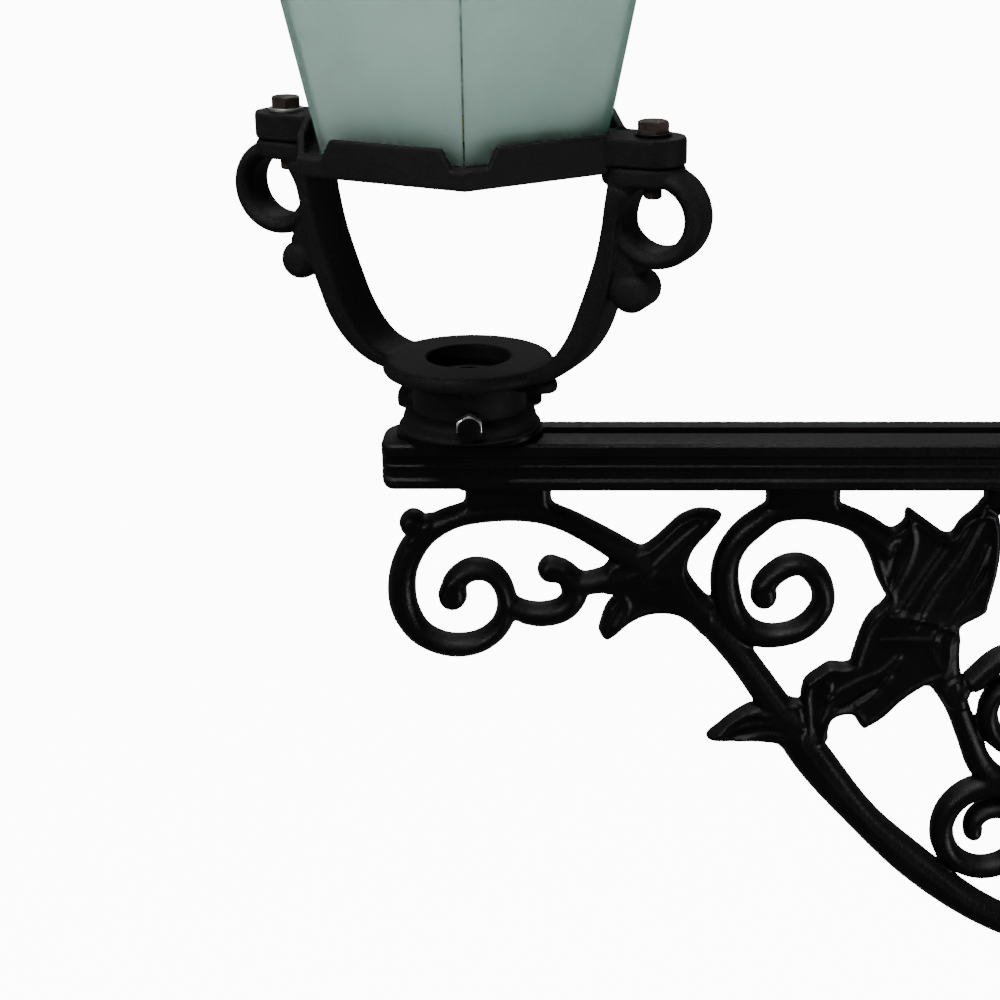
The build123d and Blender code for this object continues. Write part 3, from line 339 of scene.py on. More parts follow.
def sharpen(mesh, angle=35):
    """Smooth shading, kept crisp over edges that turn by more than the angle."""
    work = bmesh.new()
    work.from_mesh(mesh)
    bmesh.ops.recalc_face_normals(work, faces=work.faces)
    for face in work.faces:
        face.smooth = True
    for edge in work.edges:
        edge.smooth = len(edge.link_faces) == 2 and edge.calc_face_angle(0) < radians(angle)
    work.to_mesh(mesh)
    work.free()


def piece(name, mesh, place, node, material=None, sharp=35):
    """A finished piece: moved into the frame, shaded, and set to stand for its CAD node."""
    moved(mesh, place)
    sharpen(mesh, sharp)
    obj = placed(name, mesh)
    if not mesh.materials:
        mesh.materials.append(material or finish_of(node))
    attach(obj, body_of[node])
    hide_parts(node)


def lathe(profile, steps=96, closed=False):
    """Turns (radius, z) points round Z. An open profile gets flat ends where they aren't on the axis."""
    turns = [2 * pi * k / steps for k in range(steps)]
    mesh = skin([[(r * cos(a), r * sin(a), z) for a in turns] for r, z in profile], closed, ends=False)
    work = bmesh.new()
    work.from_mesh(mesh)
    bmesh.ops.remove_doubles(work, verts=work.verts, dist=1e-5)
    if not closed:
        bmesh.ops.holes_fill(work, edges=[e for e in work.edges if e.is_boundary], sides=0)
    bmesh.ops.recalc_face_normals(work, faces=work.faces)
    work.to_mesh(mesh)
    work.free()
    return mesh


def prism(outline, low, high):
    """An upright prism over an (x, y) outline."""
    return skin([[(x, y, z) for x, y in outline] for z in (low, high)])


def ring_points(radius, count, start=0.0):
    """Points on a circle round the origin."""
    turns = [start + 2 * pi * k / count for k in range(count)]
    return [(radius * cos(a), radius * sin(a)) for a in turns]


def slot_outline(length, width, x=0.0):
    """A slot along X with round ends."""
    r, reach = width / 2, (length - width) / 2
    ends = [(x + reach + r * cos(a), r * sin(a)) for a in np.linspace(-pi / 2, pi / 2, 17)]
    return ends + [(x - reach - r * cos(a), r * sin(a)) for a in np.linspace(pi / 2, -pi / 2, 17)]


def rounded_box(length, width, corner):
    """A rectangle with round corners."""
    steps = 8
    points = []
    for cx, cy, start in ((1, 1, 0), (-1, 1, 90), (-1, -1, 180), (1, -1, 270)):
        for k in range(steps + 1):
            a = radians(start + 90 * k / steps)
            points.append((cx * (length / 2 - corner) + corner * cos(a),
                           cy * (width / 2 - corner) + corner * sin(a)))
    return points


def upright(angle):
    """Maps (x, y, z) to a standing plane on the lantern: x away from the axis, y across, z up."""
    return Matrix.Rotation(radians(angle), 4, "Z")


def hex_bolt(flats, head, shank=0.0, length=0.0):
    """A hexagon bolt head with its 30 degree chamfer, standing on z = 0, and its shank below."""
    crown = flats * 0.475
    rows = [[], [], []]
    for a in [pi * k / 24 for k in range(48)]:
        r = flats / 2 / cos((a % (pi / 3)) - pi / 6)
        rows[0].append((r * cos(a), r * sin(a), 0))
        rows[1].append((r * cos(a), r * sin(a), head - (r - crown) * tan(radians(30))))
        rows[2].append((crown * cos(a), crown * sin(a), head))
    if not shank:
        return skin(rows)
    rod = [(0, 0), (shank, 0), (shank, 1 - length), (shank - 1, -length), (0, -length)]
    return joined(skin(rows), lathe(rod, 32))


def smooth_path(points, steps=6, closed=False):
    """A Catmull-Rom line through points of any size."""
    values = np.array(points, float)
    count = len(values)
    out = []
    spans = count if closed else count - 1
    for i in range(spans):
        if closed:
            a, b, c, d = (values[(i + k - 1) % count] for k in range(4))
        else:
            a, b, c, d = values[max(i - 1, 0)], values[i], values[i + 1], values[min(i + 2, count - 1)]
        for k in range(steps):
            t = k / steps
            out.append(0.5 * ((2 * b) + (c - a) * t + (2 * a - 5 * b + 4 * c - d) * t**2
                              + (3 * b - a - 3 * c + d) * t**3))
    if not closed:
        out.append(values[-1])
    return out


def strap(path, width):
    """A bar along (x, z, thickness) stations in an upright plane, with a rounded oblong section."""
    power, steps = 5.0, 40
    stations = smooth_path(path)
    rows = []
    for i, (x, z, thick) in enumerate(stations):
        ahead = stations[min(i + 1, len(stations) - 1)]
        behind = stations[max(i - 1, 0)]
        run = hypot(ahead[0] - behind[0], ahead[1] - behind[1])
        nx, nz = -(ahead[1] - behind[1]) / run, (ahead[0] - behind[0]) / run
        row = []
        for a in [2 * pi * k / steps for k in range(steps)]:
            across = width / 2 * copysign(abs(cos(a)) ** (2 / power), cos(a))
            off = thick / 2 * copysign(abs(sin(a)) ** (2 / power), sin(a))
            row.append((x + nx * off, across, z + nz * off))
        rows.append(row)
    return skin(rows)


BEAM_TOP, BEAM_BOTTOM, BEAM_END, BEAM_DEPTH = -55.7, -90.5, 614, 55
FLANGE_WIDTH = 98        # the plates that bear on the clamps
ARM_ANGLES = (-27, 153)  # the two arms of the cradle, degrees on the lantern

# ---- relief panels


def reach_to(x, z, start, end):
    """Distances from places to a straight stretch, and the share along it of the nearest point."""
    (ax, az), (bx, bz) = start, end
    length = max((bx - ax) ** 2 + (bz - az) ** 2, 1e-9)
    t = np.clip(((x - ax) * (bx - ax) + (z - az) * (bz - az)) / length, 0, 1)
    return np.hypot(x - ax - t * (bx - ax), z - az - t * (bz - az)), t


class Relief:
    """A cast panel seen from the front: how far each grid point is inside, and how high it stands."""

    RISE = 11.5          # half the thickness of the casting along its bands

    def __init__(self, low, high, step):
        self.step = step
        self.x, self.z = np.meshgrid(np.arange(low[0], high[0], step), np.arange(low[1], high[1], step))
        self.inside = np.full(self.x.shape, -60.0)
        self.height = np.zeros(self.x.shape)
        self.low = low

    def window(self, low, high):
        """The part of the grid between two corners."""
        first = [max(int((low[i] - self.low[i]) / self.step), 0) for i in (0, 1)]
        last = [int((high[i] - self.low[i]) / self.step) + 2 for i in (0, 1)]
        return np.s_[first[1]:last[1], first[0]:last[0]]

    def along(self, path, reach):
        """For each stretch of a path: its window, distances to it and place along it."""
        for (ax, az, *a), (bx, bz, *b) in zip(path, path[1:]):
            w = self.window((min(ax, bx) - reach, min(az, bz) - reach),
                            (max(ax, bx) + reach, max(az, bz) + reach))
            away, t = reach_to(self.x[w], self.z[w], (ax, az), (bx, bz))
            yield w, away, t, a, b

    def merge(self, inside, height, blend):
        """Joins a shape on, with a fillet of about the blend where they meet."""
        share = np.clip(0.5 + 0.5 * (self.inside - inside) / blend, 0, 1)
        self.inside = inside + (self.inside - inside) * share + blend * share * (1 - share)
        self.height = np.maximum(self.height, height)

    def band(self, points, crown=RISE, blend=5.0, ridge=0.7):
        """A band along (x, z, width) stations, slightly crowned, with a soft ridge along it."""
        inside = np.full(self.x.shape, -60.0)
        height = np.zeros(self.x.shape)
        path = smooth_path(points)
        reach = max(p[2] for p in path) / 2 + 8
        for w, away, t, a, b in self.along(path, reach):
            half = (a[0] + (b[0] - a[0]) * t) / 2
            inside[w] = np.maximum(inside[w], half - away)
            rise = crown * (1 - 0.3 * np.clip(away / half, 0, 1.3) ** 2)
            rise += ridge * np.exp(-((away / 1.6) ** 2))
            height[w] = np.maximum(height[w], np.where(away < half + 6, rise, 0))
        self.merge(inside, height, blend)

    def block(self, low, high, blend=4.0):
        """A flat oblong between two corners."""
        middle = [(low[i] + high[i]) / 2 for i in (0, 1)]
        size = [(high[i] - low[i]) / 2 for i in (0, 1)]
        dx = np.abs(self.x - middle[0]) - size[0]
        dz = np.abs(self.z - middle[1]) - size[1]
        outside = np.hypot(np.maximum(dx, 0), np.maximum(dz, 0)) + np.minimum(np.maximum(dx, dz), 0)
        self.merge(-outside, np.where(outside < 6, self.RISE, 0), blend)

    def knob(self, x, z, radius, rise=12.0):
        """A round end of a scroll."""
        away = np.hypot(self.x - x, self.z - z)
        self.merge(radius - away, np.where(away < radius + 4, rise, 0), 2.5)

    def leaf(self, points, thick, rim):
        """A leaf by its outline: a hollowed blade with a raised rim."""
        path = smooth_path(points, 5, closed=True)
        path.append(path[0])
        w = self.window(np.min(path, axis=0) - 6, np.max(path, axis=0) + 6)
        x, z = self.x[w], self.z[w]
        near = np.full(x.shape, 60.0)
        odd = np.zeros(x.shape, bool)
        for (ax, az), (bx, bz) in zip(path, path[1:]):
            near = np.minimum(near, reach_to(x, z, (ax, az), (bx, bz))[0])
            if az != bz:
                odd ^= ((az > z) != (bz > z)) & (x < (bx - ax) * (z - az) / (bz - az) + ax)
        signed = np.where(odd, near, -near)
        inside = np.full(self.x.shape, -60.0)
        height = np.zeros(self.x.shape)
        inside[w] = signed
        height[w] = np.where(signed > -4, thick + rim * np.exp(-(((signed - 3.6) / 2.6) ** 2)), 0)
        self.merge(inside, height, 4.0)

    def crease(self, points, width, rise):
        """A raised vein (or, with a negative rise, a groove) along a line."""
        added = np.zeros(self.x.shape)
        for w, away, *_ in self.along(smooth_path(points, 5), width * 3):
            added[w] = np.maximum(added[w], np.exp(-((away / width) ** 2)))
        self.height = self.height + rise * added

    def mesh(self):
        """The closed mesh: front and back relief, meeting along the outline."""
        rim, most = 7.0, 12.0
        height = self.height
        for _ in range(2):
            height = (4 * height + np.roll(height, 1, 0) + np.roll(height, -1, 0)
                      + np.roll(height, 1, 1) + np.roll(height, -1, 1)) / 8
        edge = np.clip(self.inside / rim, 0, 1)
        height = np.minimum(height * np.sqrt(1 - (1 - edge) ** 2), most)
        solid = self.inside > 0.3 * self.step
        near = solid.copy()
        for dz in (-1, 0, 1):
            for dx in (-1, 0, 1):
                near |= np.roll(np.roll(solid, dz, 0), dx, 1)
        gz, gx = np.gradient(self.inside, self.step)
        size = np.maximum(gx**2 + gz**2, 0.25)
        snap = near & ~solid
        x = np.where(snap, self.x - self.inside * gx / size, self.x)
        z = np.where(snap, self.z - self.inside * gz / size, self.z)
        cell = solid[:-1, :-1] | solid[1:, :-1] | solid[:-1, 1:] | solid[1:, 1:]
        rows, cols = np.nonzero(cell)
        front = np.full(self.x.shape, -1)
        back = front.copy()
        front[near] = np.arange(near.sum())
        back[snap] = front[snap]
        back[solid] = near.sum() + np.arange(solid.sum())
        face_y = np.where(solid, -height, 0)
        verts = np.concatenate((
            np.stack((x[near], face_y[near], z[near]), 1),
            np.stack((x[solid], height[solid], z[solid]), 1)))
        quads = []
        for sheet, order in ((front, 1), (back, -1)):
            corners = [sheet[rows + dz, cols + dx] for dx, dz in ((0, 0), (1, 0), (1, 1), (0, 1))]
            quads.append(np.stack(corners, 1)[:, ::order])
        result = mesh_of(verts.tolist(), np.concatenate(quads).tolist())
        work = bmesh.new()
        work.from_mesh(result)
        bmesh.ops.delete(work, geom=[v for v in work.verts if not v.link_faces], context="VERTS")
        work.to_mesh(result)
        work.free()
        return result


def curl(x, z, outer, inner, start, sweep, wide, narrow, count):
    """Stations of a scroll that winds in round (x, z), angles in degrees."""
    out = []
    for k in range(count):
        t = k / (count - 1)
        r = outer + (inner - outer) * t**1.5
        a = radians(start + sweep * t)
        out.append((x + r * cos(a), z + r * sin(a), wide + (narrow - wide) * t))
    return out


def scroll_panel():
    """The scrollwork under the arm: (x, z) from the lantern axis and the cradle disc."""
    panel = Relief((-75, -535), (606, BEAM_BOTTOM + 5), 1.25)
    # necks up to the arm
    for middle, length in ((26, 62), (238, 54), (386, 36), (532, 60)):
        low, high = middle - length / 2, middle + length / 2
        panel.block((low, BEAM_BOTTOM - 22), (high, BEAM_BOTTOM + 4), blend=5)
        panel.block((low - 6, BEAM_BOTTOM), (high + 6, BEAM_BOTTOM + 4), blend=5)
    # the scroll at the nose, its top first, and the two stems from it to the first leaf
    panel.band((
        (-31, -128, 19), (-8, -118, 17), (27, -114, 17), (57, -118, 17), (86, -132, 18),
        (121, -155, 22)), blend=6)
    panel.band((
        (-31, -128, 19), (-43, -142, 20), (-51, -160, 20), (-53, -179, 21), (-50, -195, 21), (-41, -210, 19),
        (-26, -219, 18), (-10, -221, 18), (5, -217, 17), (17, -207, 16), (23, -194, 15), (23, -180, 15),
        (18, -168, 16), (9, -161, 17), (-3, -161, 18), (-13, -169, 18), (-16, -181, 20)), blend=3)
    panel.band((
        (28, -190, 16), (39, -195, 18), (52, -196, 19), (65, -192, 19), (73, -182, 19), (73, -171, 18),
        (66, -163, 18), (56, -160, 18)), blend=4)
    panel.band(((72, -172, 18), (84, -171, 18), (95, -169, 20), (106, -167, 25), (121, -167, 37)), blend=4)
    # the middle scroll
    panel.band((
        (298, -139, 22), (285, -128, 19), (273, -121, 17), (254, -115, 17), (236, -113, 17), (218, -116, 17),
        (204, -125, 20), (192, -137, 20), (185, -151, 20), (183, -166, 21), (185, -183, 22), (190, -197, 22),
        (200, -208, 20), (212, -213, 19), (225, -213, 18), (238, -209, 18), (248, -201, 18), (255, -189, 18),
        (255, -176, 17), (249, -164, 18), (239, -157, 17), (228, -158, 18), (218, -165, 18), (212, -173, 18),
        (212, -181, 18)), blend=4)
    # the long stem down to the post
    panel.band((
        (140, -173, 37), (160, -188, 24), (193, -226, 22), (221, -267, 24), (253, -315, 30), (292, -364, 25),
        (334, -405, 28), (381, -442, 25), (430, -466, 24), (500, -486, 24), (604, -494, 26)), blend=6)
    # the first leaf, the small leaf and the large leaf with its stem
    panel.leaf((
        (96, -157), (107, -150), (123, -142), (132, -135), (141, -126), (150, -118), (164, -113),
        (180, -117), (172, -130), (165, -138), (159, -147), (156, -159), (158, -168), (165, -179),
        (176, -190), (170, -211), (158, -201), (147, -196), (136, -195), (125, -197), (114, -203),
        (103, -213), (96, -216), (91, -209), (92, -201), (96, -189), (102, -180),
        (96, -177)), thick=9.0, rim=2.4)
    panel.leaf((
        (244, -268), (222, -268), (205, -269), (190, -278), (180, -287), (172, -295), (178, -300),
        (200, -300), (224, -302), (246, -308)), thick=7.0, rim=3.4)
    panel.leaf((
        (284, -138), (289, -153), (293, -165), (299, -177), (301, -183), (292, -193), (285, -205),
        (279, -226), (276, -235), (263, -235), (256, -239), (247, -246), (243, -252), (242, -267),
        (248, -300), (263, -300), (264, -292), (267, -282), (275, -278), (282, -279), (289, -289),
        (295, -287), (306, -279), (317, -267), (328, -258), (337, -252), (349, -244), (353, -230),
        (353, -216), (359, -205), (375, -195), (378, -185), (383, -153), (381, -122), (369, -107),
        (362, -113), (352, -122), (344, -132), (327, -121), (316, -113), (312, -114), (311, -122),
        (304, -128), (295, -130)), thick=7.5, rim=3.0)
    panel.band((
        (333, -217, 52), (345, -240, 30), (358, -267, 19), (369, -294, 18), (381, -321, 20), (400, -338, 20)),
        8.5, 6)
    # the scrolls nearest the post, the stem between them and the strap down the post
    panel.band(curl(412, -272, 46, 14, 150, -500, 19, 15, 18), blend=4)
    panel.band(curl(391, -378, 40, 12, 60, 480, 20, 15, 18), blend=4)
    panel.band(curl(532, -178, 60, 16, 160, -520, 20, 15, 20), blend=4)
    panel.band(curl(516, -388, 78, 18, 250, 520, 22, 15, 20), blend=4)
    panel.band((
        (384, -106, 22), (420, -118, 18), (450, -145, 18), (466, -190, 18), (468, -240, 18), (464, -290, 18),
        (450, -340, 18), (444, -385, 17)), blend=5)
    panel.band(((595, -96, 14), (595, -504, 14)), blend=4, ridge=0)
    for knob in ((-43, -124, 10), (56, -160, 9.2), (-16, -181, 10.2), (212, -181, 9.4), (360, -258, 9)):
        panel.knob(*knob)
    # veins of the first leaf, the large leaf and the small leaf, then the folds of the large leaf
    for vein in (
        ((108, -168), (128, -158), (146, -140), (166, -121)),
        ((110, -172), (132, -175), (150, -178), (170, -196)),
        ((108, -176), (112, -188), (103, -203)),
        ((300, -182), (312, -160), (318, -138), (315, -120)),
        ((322, -205), (336, -175), (352, -150), (366, -118)),
        ((338, -210), (352, -190), (364, -165), (372, -140)),
        ((262, -262), (280, -250), (300, -240), (312, -228)),
        ((256, -282), (262, -262), (262, -250)), ((300, -215), (318, -214), (338, -214)),
        ((306, -196), (330, -198), (352, -206)), ((284, -268), (296, -258), (306, -244)),
        ((182, -293), (205, -284), (232, -282)), ((196, -296), (216, -292), (240, -293)),
        ((205, -275), (222, -277), (244, -286)),
    ):
        panel.crease(vein, 2.3, 2.6)
    for fold in (
        ((296, -190), (304, -165), (306, -140)), ((312, -192), (330, -160), (342, -140)),
        ((345, -200), (362, -178), (374, -158)), ((270, -272), (286, -262), (300, -252)),
    ):
        panel.crease(fold, 2.6, -2.6)
    return panel.mesh()


def flange(near, low, high):
    """An upright plate across the arm, 12 mm thick, that bears on a clamp."""
    half = FLANGE_WIDTH / 2
    corners = [(near, -half), (near + 12, -half), (near + 12, half), (near, half)]
    return bevelled(prism(corners, low, high), 2)


piece("scrollwork", joined(scroll_panel(), flange(601, -520, -452)), ARM, "scroll_panel", sharp=60)

# ---- beam

HALF = BEAM_DEPTH / 2
GROOVE_FLOOR = BEAM_TOP - 5
NOSE = -61.5             # the end of the arm, beyond the lantern
STEP_END = 41.5          # the groove in the top starts here
NECK_START = -6          # the underside is a little higher before the first neck of the scrollwork
BEAM_PROFILE = (
    (-HALF, BEAM_TOP - 2), (-HALF + 2, BEAM_TOP), (-1.5, BEAM_TOP), (-1.5, GROOVE_FLOOR),
    (12, GROOVE_FLOOR), (12, BEAM_TOP), (HALF - 2, BEAM_TOP), (HALF, BEAM_TOP - 2), (HALF, BEAM_TOP - 9),
    (HALF - 2, BEAM_TOP - 11), (HALF - 2, BEAM_BOTTOM + 9), (HALF, BEAM_BOTTOM + 7),
    (HALF, BEAM_BOTTOM + 2), (HALF - 2, BEAM_BOTTOM), (-HALF + 2, BEAM_BOTTOM), (-HALF, BEAM_BOTTOM + 2),
    (-HALF, BEAM_BOTTOM + 7), (-HALF + 2, BEAM_BOTTOM + 9), (-HALF + 2, -75), (-HALF + 1, -74),
    (-HALF + 1, -72.5), (-HALF + 2, -71.5), (-HALF + 2, BEAM_TOP - 11), (-HALF, BEAM_TOP - 9),
)


def rounding(radius, into):
    """How far a rounded corner stands back from its square edge, at a distance into it."""
    return radius - sqrt(radius**2 - (radius - into) ** 2) if into < radius else 0


def beam_section(x):
    """The section at x: drawn in over the last stretch, where the nose is rounded off."""
    into = x - NOSE
    pull = rounding(9, into)
    back = rounding(24, into)
    lift = 0.75 * rounding(8, into) + (1.2 if x < NECK_START else 0)
    row = []
    for y, z in BEAM_PROFILE:
        if z == GROOVE_FLOOR and x < STEP_END:
            z = BEAM_TOP
        if y > 0:
            y *= (HALF - back) / (HALF - pull)
        up = (z - BEAM_BOTTOM) / (BEAM_TOP - BEAM_BOTTOM)
        row.append((x, y * (HALF - pull) / HALF, z + lift * (1 - up) - lift / 4 * up))
    return row


def beam():
    """The moulded arm with the step under the collar and the flange at the post."""
    stations = [NOSE + into for into in (0, 0.5, 1.5, 3, 5, 7, 9, 12, 16, 20, 24)]
    stations += [-7, -5, 41, 42, BEAM_END - 12]
    bar = bevelled(skin([beam_section(x) for x in stations]), 0.9, 2, 35)
    step = bevelled(prism(rounded_box(104, BEAM_DEPTH - 1, 26.5), BEAM_TOP - 8, -49.7), 2.4, 4)
    return joined(bar, step, flange(BEAM_END - 12, -104, -40))


piece("beam", beam(), ARM, "bracket_beam", sharp=40)

# ---- collar and cradle

SET_SCREW_ANGLES = (-91, 29, 149)
SET_SCREW_LEVEL = -35.5
LUG_TOP = 163            # top of the tray's lugs
LUG_BOLT_REACH = 137     # from the lantern axis

collar_profile = [
    (31, -49.2), (48.8, -49.2), (50, -48.4), (50, -47.4), (49.2, -46.8), (48.2, -46.4), (47.2, -45.8),
    (47, -44.8), (47, -41.6), (46.2, -39), (44, -36.6), (41.6, -35.4), (40.3, -34.6),
    (40, -33.2), (40, -15), (41.5, -12.2), (44, -10.6), (46, -10.2), (31, -10.2),
]
ears = [moved(bevelled(prism(slot_outline(34, 22, 50), -18, -9.5), 2.5), upright(a)) for a in ARM_ANGLES]
on_side = [upright(a) @ Matrix.Translation((47, 0, SET_SCREW_LEVEL)) @ FACE_OUT for a in SET_SCREW_ANGLES]
boss = [(0, -9), (9, -9), (9, -0.5), (8.5, -0.02), (0, -0.02)]
bosses = [moved(lathe(boss, 48), place) for place in on_side]
collar = joined(lathe(collar_profile, 128, closed=True), *ears, *bosses)
piece("collar", collar, LANTERN, "swivel_collar", sharp=40)


def mirrored(profile):
    """A closed profile from its upper half: the lower half is the same."""
    return profile + [(r, -z) for r, z in reversed(profile)]


def cradle_arm(turn):
    """The solids of one cradle arm: scroll ring, knob, pad, strap, saddle and the web behind the strap."""
    ring = lathe(mirrored([
        (20.8, 9), (21.6, 12.6), (23.6, 15.4), (26.5, 17), (28.3, 17), (30.9, 15.2), (32.8, 12),
        (33.5, 7.5)]), 72, closed=True)
    knob = lathe(mirrored([(0, 19), (8, 18.2), (11.8, 15.8), (13.5, 12)]), 48)
    for mesh, x, z in ((ring, 142, 111), (knob, 126, 60.5)):
        moved(mesh, turn @ Matrix.Translation((x, 0, z)) @ STAND)
    pad = bevelled(prism(slot_outline(56, 43.6, 130.5), 132, PAD_TOP - 0.2), 2.5)
    arm = strap((
        (38, -4.4, 11), (50, -4.4, 11), (60, -2.6, 12), (71.5, 3, 13), (83, 14, 15.5), (92.5, 29, 17),
        (99, 45.5, 17), (105.5, 64, 16.5), (110.5, 84, 14), (113.5, 104, 11.5), (116, 118, 13),
        (120, 130, 18)), 44)
    saddle = strap(((117, 124, 9), (121, 131, 11), (128, 136, 10), (136, 138, 9)), 42)
    web_outline = [
        (107, 62), (112, 92), (114, 122), (121, 128), (122, 100), (126, 84), (131, 76), (128, 60), (118, 50)]
    web = moved(bevelled(prism(web_outline, -16, 16), 3), STAND)
    return [ring, knob] + [moved(mesh, turn) for mesh in (pad, arm, saddle, web)]


disc = lathe([
    (29, 0.6), (29, -10), (56, -10), (58.6, -9), (60, -6.5), (60, -3.4), (58.8, -0.6), (56.4, 0.8), (53, 1.3),
    (31, 1.3)], 128, closed=True)
cradle_arms = [mesh for a in ARM_ANGLES for mesh in cradle_arm(upright(a))]
piece("cradle_casting", cast(joined(disc, *cradle_arms), 8, 190000), LANTERN, "cradle", sharp=70)

# The front set screw is bright steel on the sides that look up, partly wear and partly a painted highlight; the
# others keep their paint.
for index, place in enumerate(on_side):
    screw = moved(hex_bolt(17, 8, 4, 14), place)
    screw.materials.append(IRON)
    screw.materials.append(BRIGHT if index == 0 else IRON_SATIN)
    outward = (place.to_3x3() @ Vector((0, 0, 1))).normalized()
    for face in screw.polygons:
        # Faces that look up or sideways take the second material: on the front screw, bright steel as a painted
        # highlight.
        face.material_index = 1 if face.normal.dot(outward) < 0.95 and face.normal.z > -0.1 else 0
    piece(f"set_screw_{index + 1}", screw, LANTERN, "collar_screws")

socket_screw = [(0, -2), (4, -2), (4, -14), (6.2, -14), (6.5, -14.3), (6.5, -17.6), (6.1, -18), (3.2, -18),
                (3.2, -15), (0, -15)]
for name, a in zip(("right", "left"), ARM_ANGLES):
    place = upright(a) @ Matrix.Translation((57, 0, 0))
    piece(f"cradle_screw_{name}", moved(lathe(socket_screw, 48), place), LANTERN, "cradle_bolts")

washer = [(6.2, 0), (11.6, 0), (12, 0.5), (12, 2), (11.6, 2.4), (6.2, 2.4)]
for name, a, finish in zip(("right", "left"), ARM_ANGLES, (IRON, ZINC)):
    on_lug = upright(a) @ Matrix.Translation((LUG_BOLT_REACH, 0, LUG_TOP))
    bolt = moved(hex_bolt(19, 7.5, 6, 43), on_lug @ Matrix.Translation((0, 0, 2.5)))
    piece(f"lug_bolt_{name}", bolt, LANTERN, "lug_bolts", RUST)
    seat = moved(lathe(washer, 64, closed=True), on_lug)
    piece(f"lug_washer_{name}", seat, LANTERN, "lug_washers", finish)

# ---- tray

TRAY_RADIUS, TRAY_BOTTOM, TRAY_THICK, LIP_HEIGHT, LIP_THICK = 123, 140, 12, 13, 5


def tray():
    """The tray: a six-sided plate, a lip on each side with gaps at the corners, and two lugs."""
    top = TRAY_BOTTOM + TRAY_THICK
    parts = [prism(ring_points(TRAY_RADIUS, 6, radians(30)), TRAY_BOTTOM, top)]
    lip = [(18, -6), (18, 0), (25, LIP_HEIGHT), (106, LIP_HEIGHT), (113, 0), (113, -6)]
    stand = Matrix(((0, 0, 1, -LIP_THICK), (1, 0, 0, 0), (0, 1, 0, top), (0, 0, 0, 1)))
    corner = Matrix.Translation((TRAY_RADIUS * sqrt(3) / 2, -TRAY_RADIUS / 2, 0))
    for k in range(6):
        parts.append(moved(prism(lip, 0, LIP_THICK), upright(60 * k) @ corner @ stand))
    for a in ARM_ANGLES:
        parts.append(moved(prism(slot_outline(68, 44, 125), PAD_TOP + 0.2, LUG_TOP), upright(a)))
    return cast(joined(*parts), 6)


piece("tray_casting", tray(), LANTERN, "tray", sharp=70)

# ---- glass

GLASS_RADIUS, GLASS_LEVEL, GLASS_HEIGHT, GLASS_SLOPE, GLASS_THICK = 106, 153, 400, 0.23, 5
JOINT = 1.2              # the gap between two panes
lean = GLASS_SLOPE * sqrt(3) / 2
pane_angle = atan(lean)
pane_height = hypot(GLASS_HEIGHT, lean * GLASS_HEIGHT)
pane_sides = ("right", "back_right", "back_left", "left", "front_left", "front_right")


def pane(k):
    """One mitred pane: frosted faces, darker edges."""
    turn = upright(60 * k)
    tilt = Matrix.Rotation(pane_angle, 4, "Y")
    verts = []
    for depth in (0, GLASS_THICK):
        mitre = depth * tan(radians(30)) / cos(pane_angle) + JOINT / 2
        low = GLASS_RADIUS / 2 - mitre
        high = (GLASS_RADIUS + GLASS_SLOPE * GLASS_HEIGHT) / 2 - mitre
        for across, up in ((-low, 0), (low, 0), (high, pane_height), (-high, pane_height)):
            spot = tilt @ Vector((-depth, across, up))
            verts.append(turn @ (spot + Vector((GLASS_RADIUS * sqrt(3) / 2, 0, GLASS_LEVEL))))
    faces = [(0, 1, 2, 3), (7, 6, 5, 4)] + [(j, j + 4, (j + 1) % 4 + 4, (j + 1) % 4) for j in range(4)]
    mesh = mesh_of(verts, faces)
    mesh.materials.append(GLASS)
    mesh.materials.append(GLASS_EDGE)
    for face in mesh.polygons:
        face.material_index = 0 if face.index < 2 else 1
    return bevelled(mesh, 0.4, 2)


for k, name in enumerate(pane_sides):
    piece(f"glass_{name}", pane(k), LANTERN, f"pane_{name}", sharp=50)

# ---- post


def arc(start, through, end, steps=10):
    """Points on the round stretch through three points, without its first."""
    (ax, ay), (bx, by), (cx, cy) = start, through, end
    d = 2 * (ax * (by - cy) + bx * (cy - ay) + cx * (ay - by))
    a2, b2, c2 = ax * ax + ay * ay, bx * bx + by * by, cx * cx + cy * cy
    x = (a2 * (by - cy) + b2 * (cy - ay) + c2 * (ay - by)) / d
    y = (a2 * (cx - bx) + b2 * (ax - cx) + c2 * (bx - ax)) / d
    radius = hypot(ax - x, ay - y)
    first = atan2(ay - y, ax - x)
    sweep = (atan2(cy - y, cx - x) - first) % (2 * pi)
    middle_sweep = (atan2(by - y, bx - x) - first) % (2 * pi)
    if middle_sweep > sweep:
        sweep -= 2 * pi
    return [(x + radius * cos(first + sweep * k / steps), y + radius * sin(first + sweep * k / steps))
            for k in range(1, steps + 1)]


def turned(rows, low):
    """A lathe profile from rows of points and arcs, standing at a level."""
    points = []
    for row in rows:
        points += arc(points[-1], *row) if isinstance(row[0], tuple) else [row]
    return [(r, z + low) for r, z in points]


def turning(node, profile, level, place, steps=96, closed=False):
    """A turned piece from its profile, standing at a level."""
    piece(node, lathe(turned(profile, level), steps, closed), place, node)


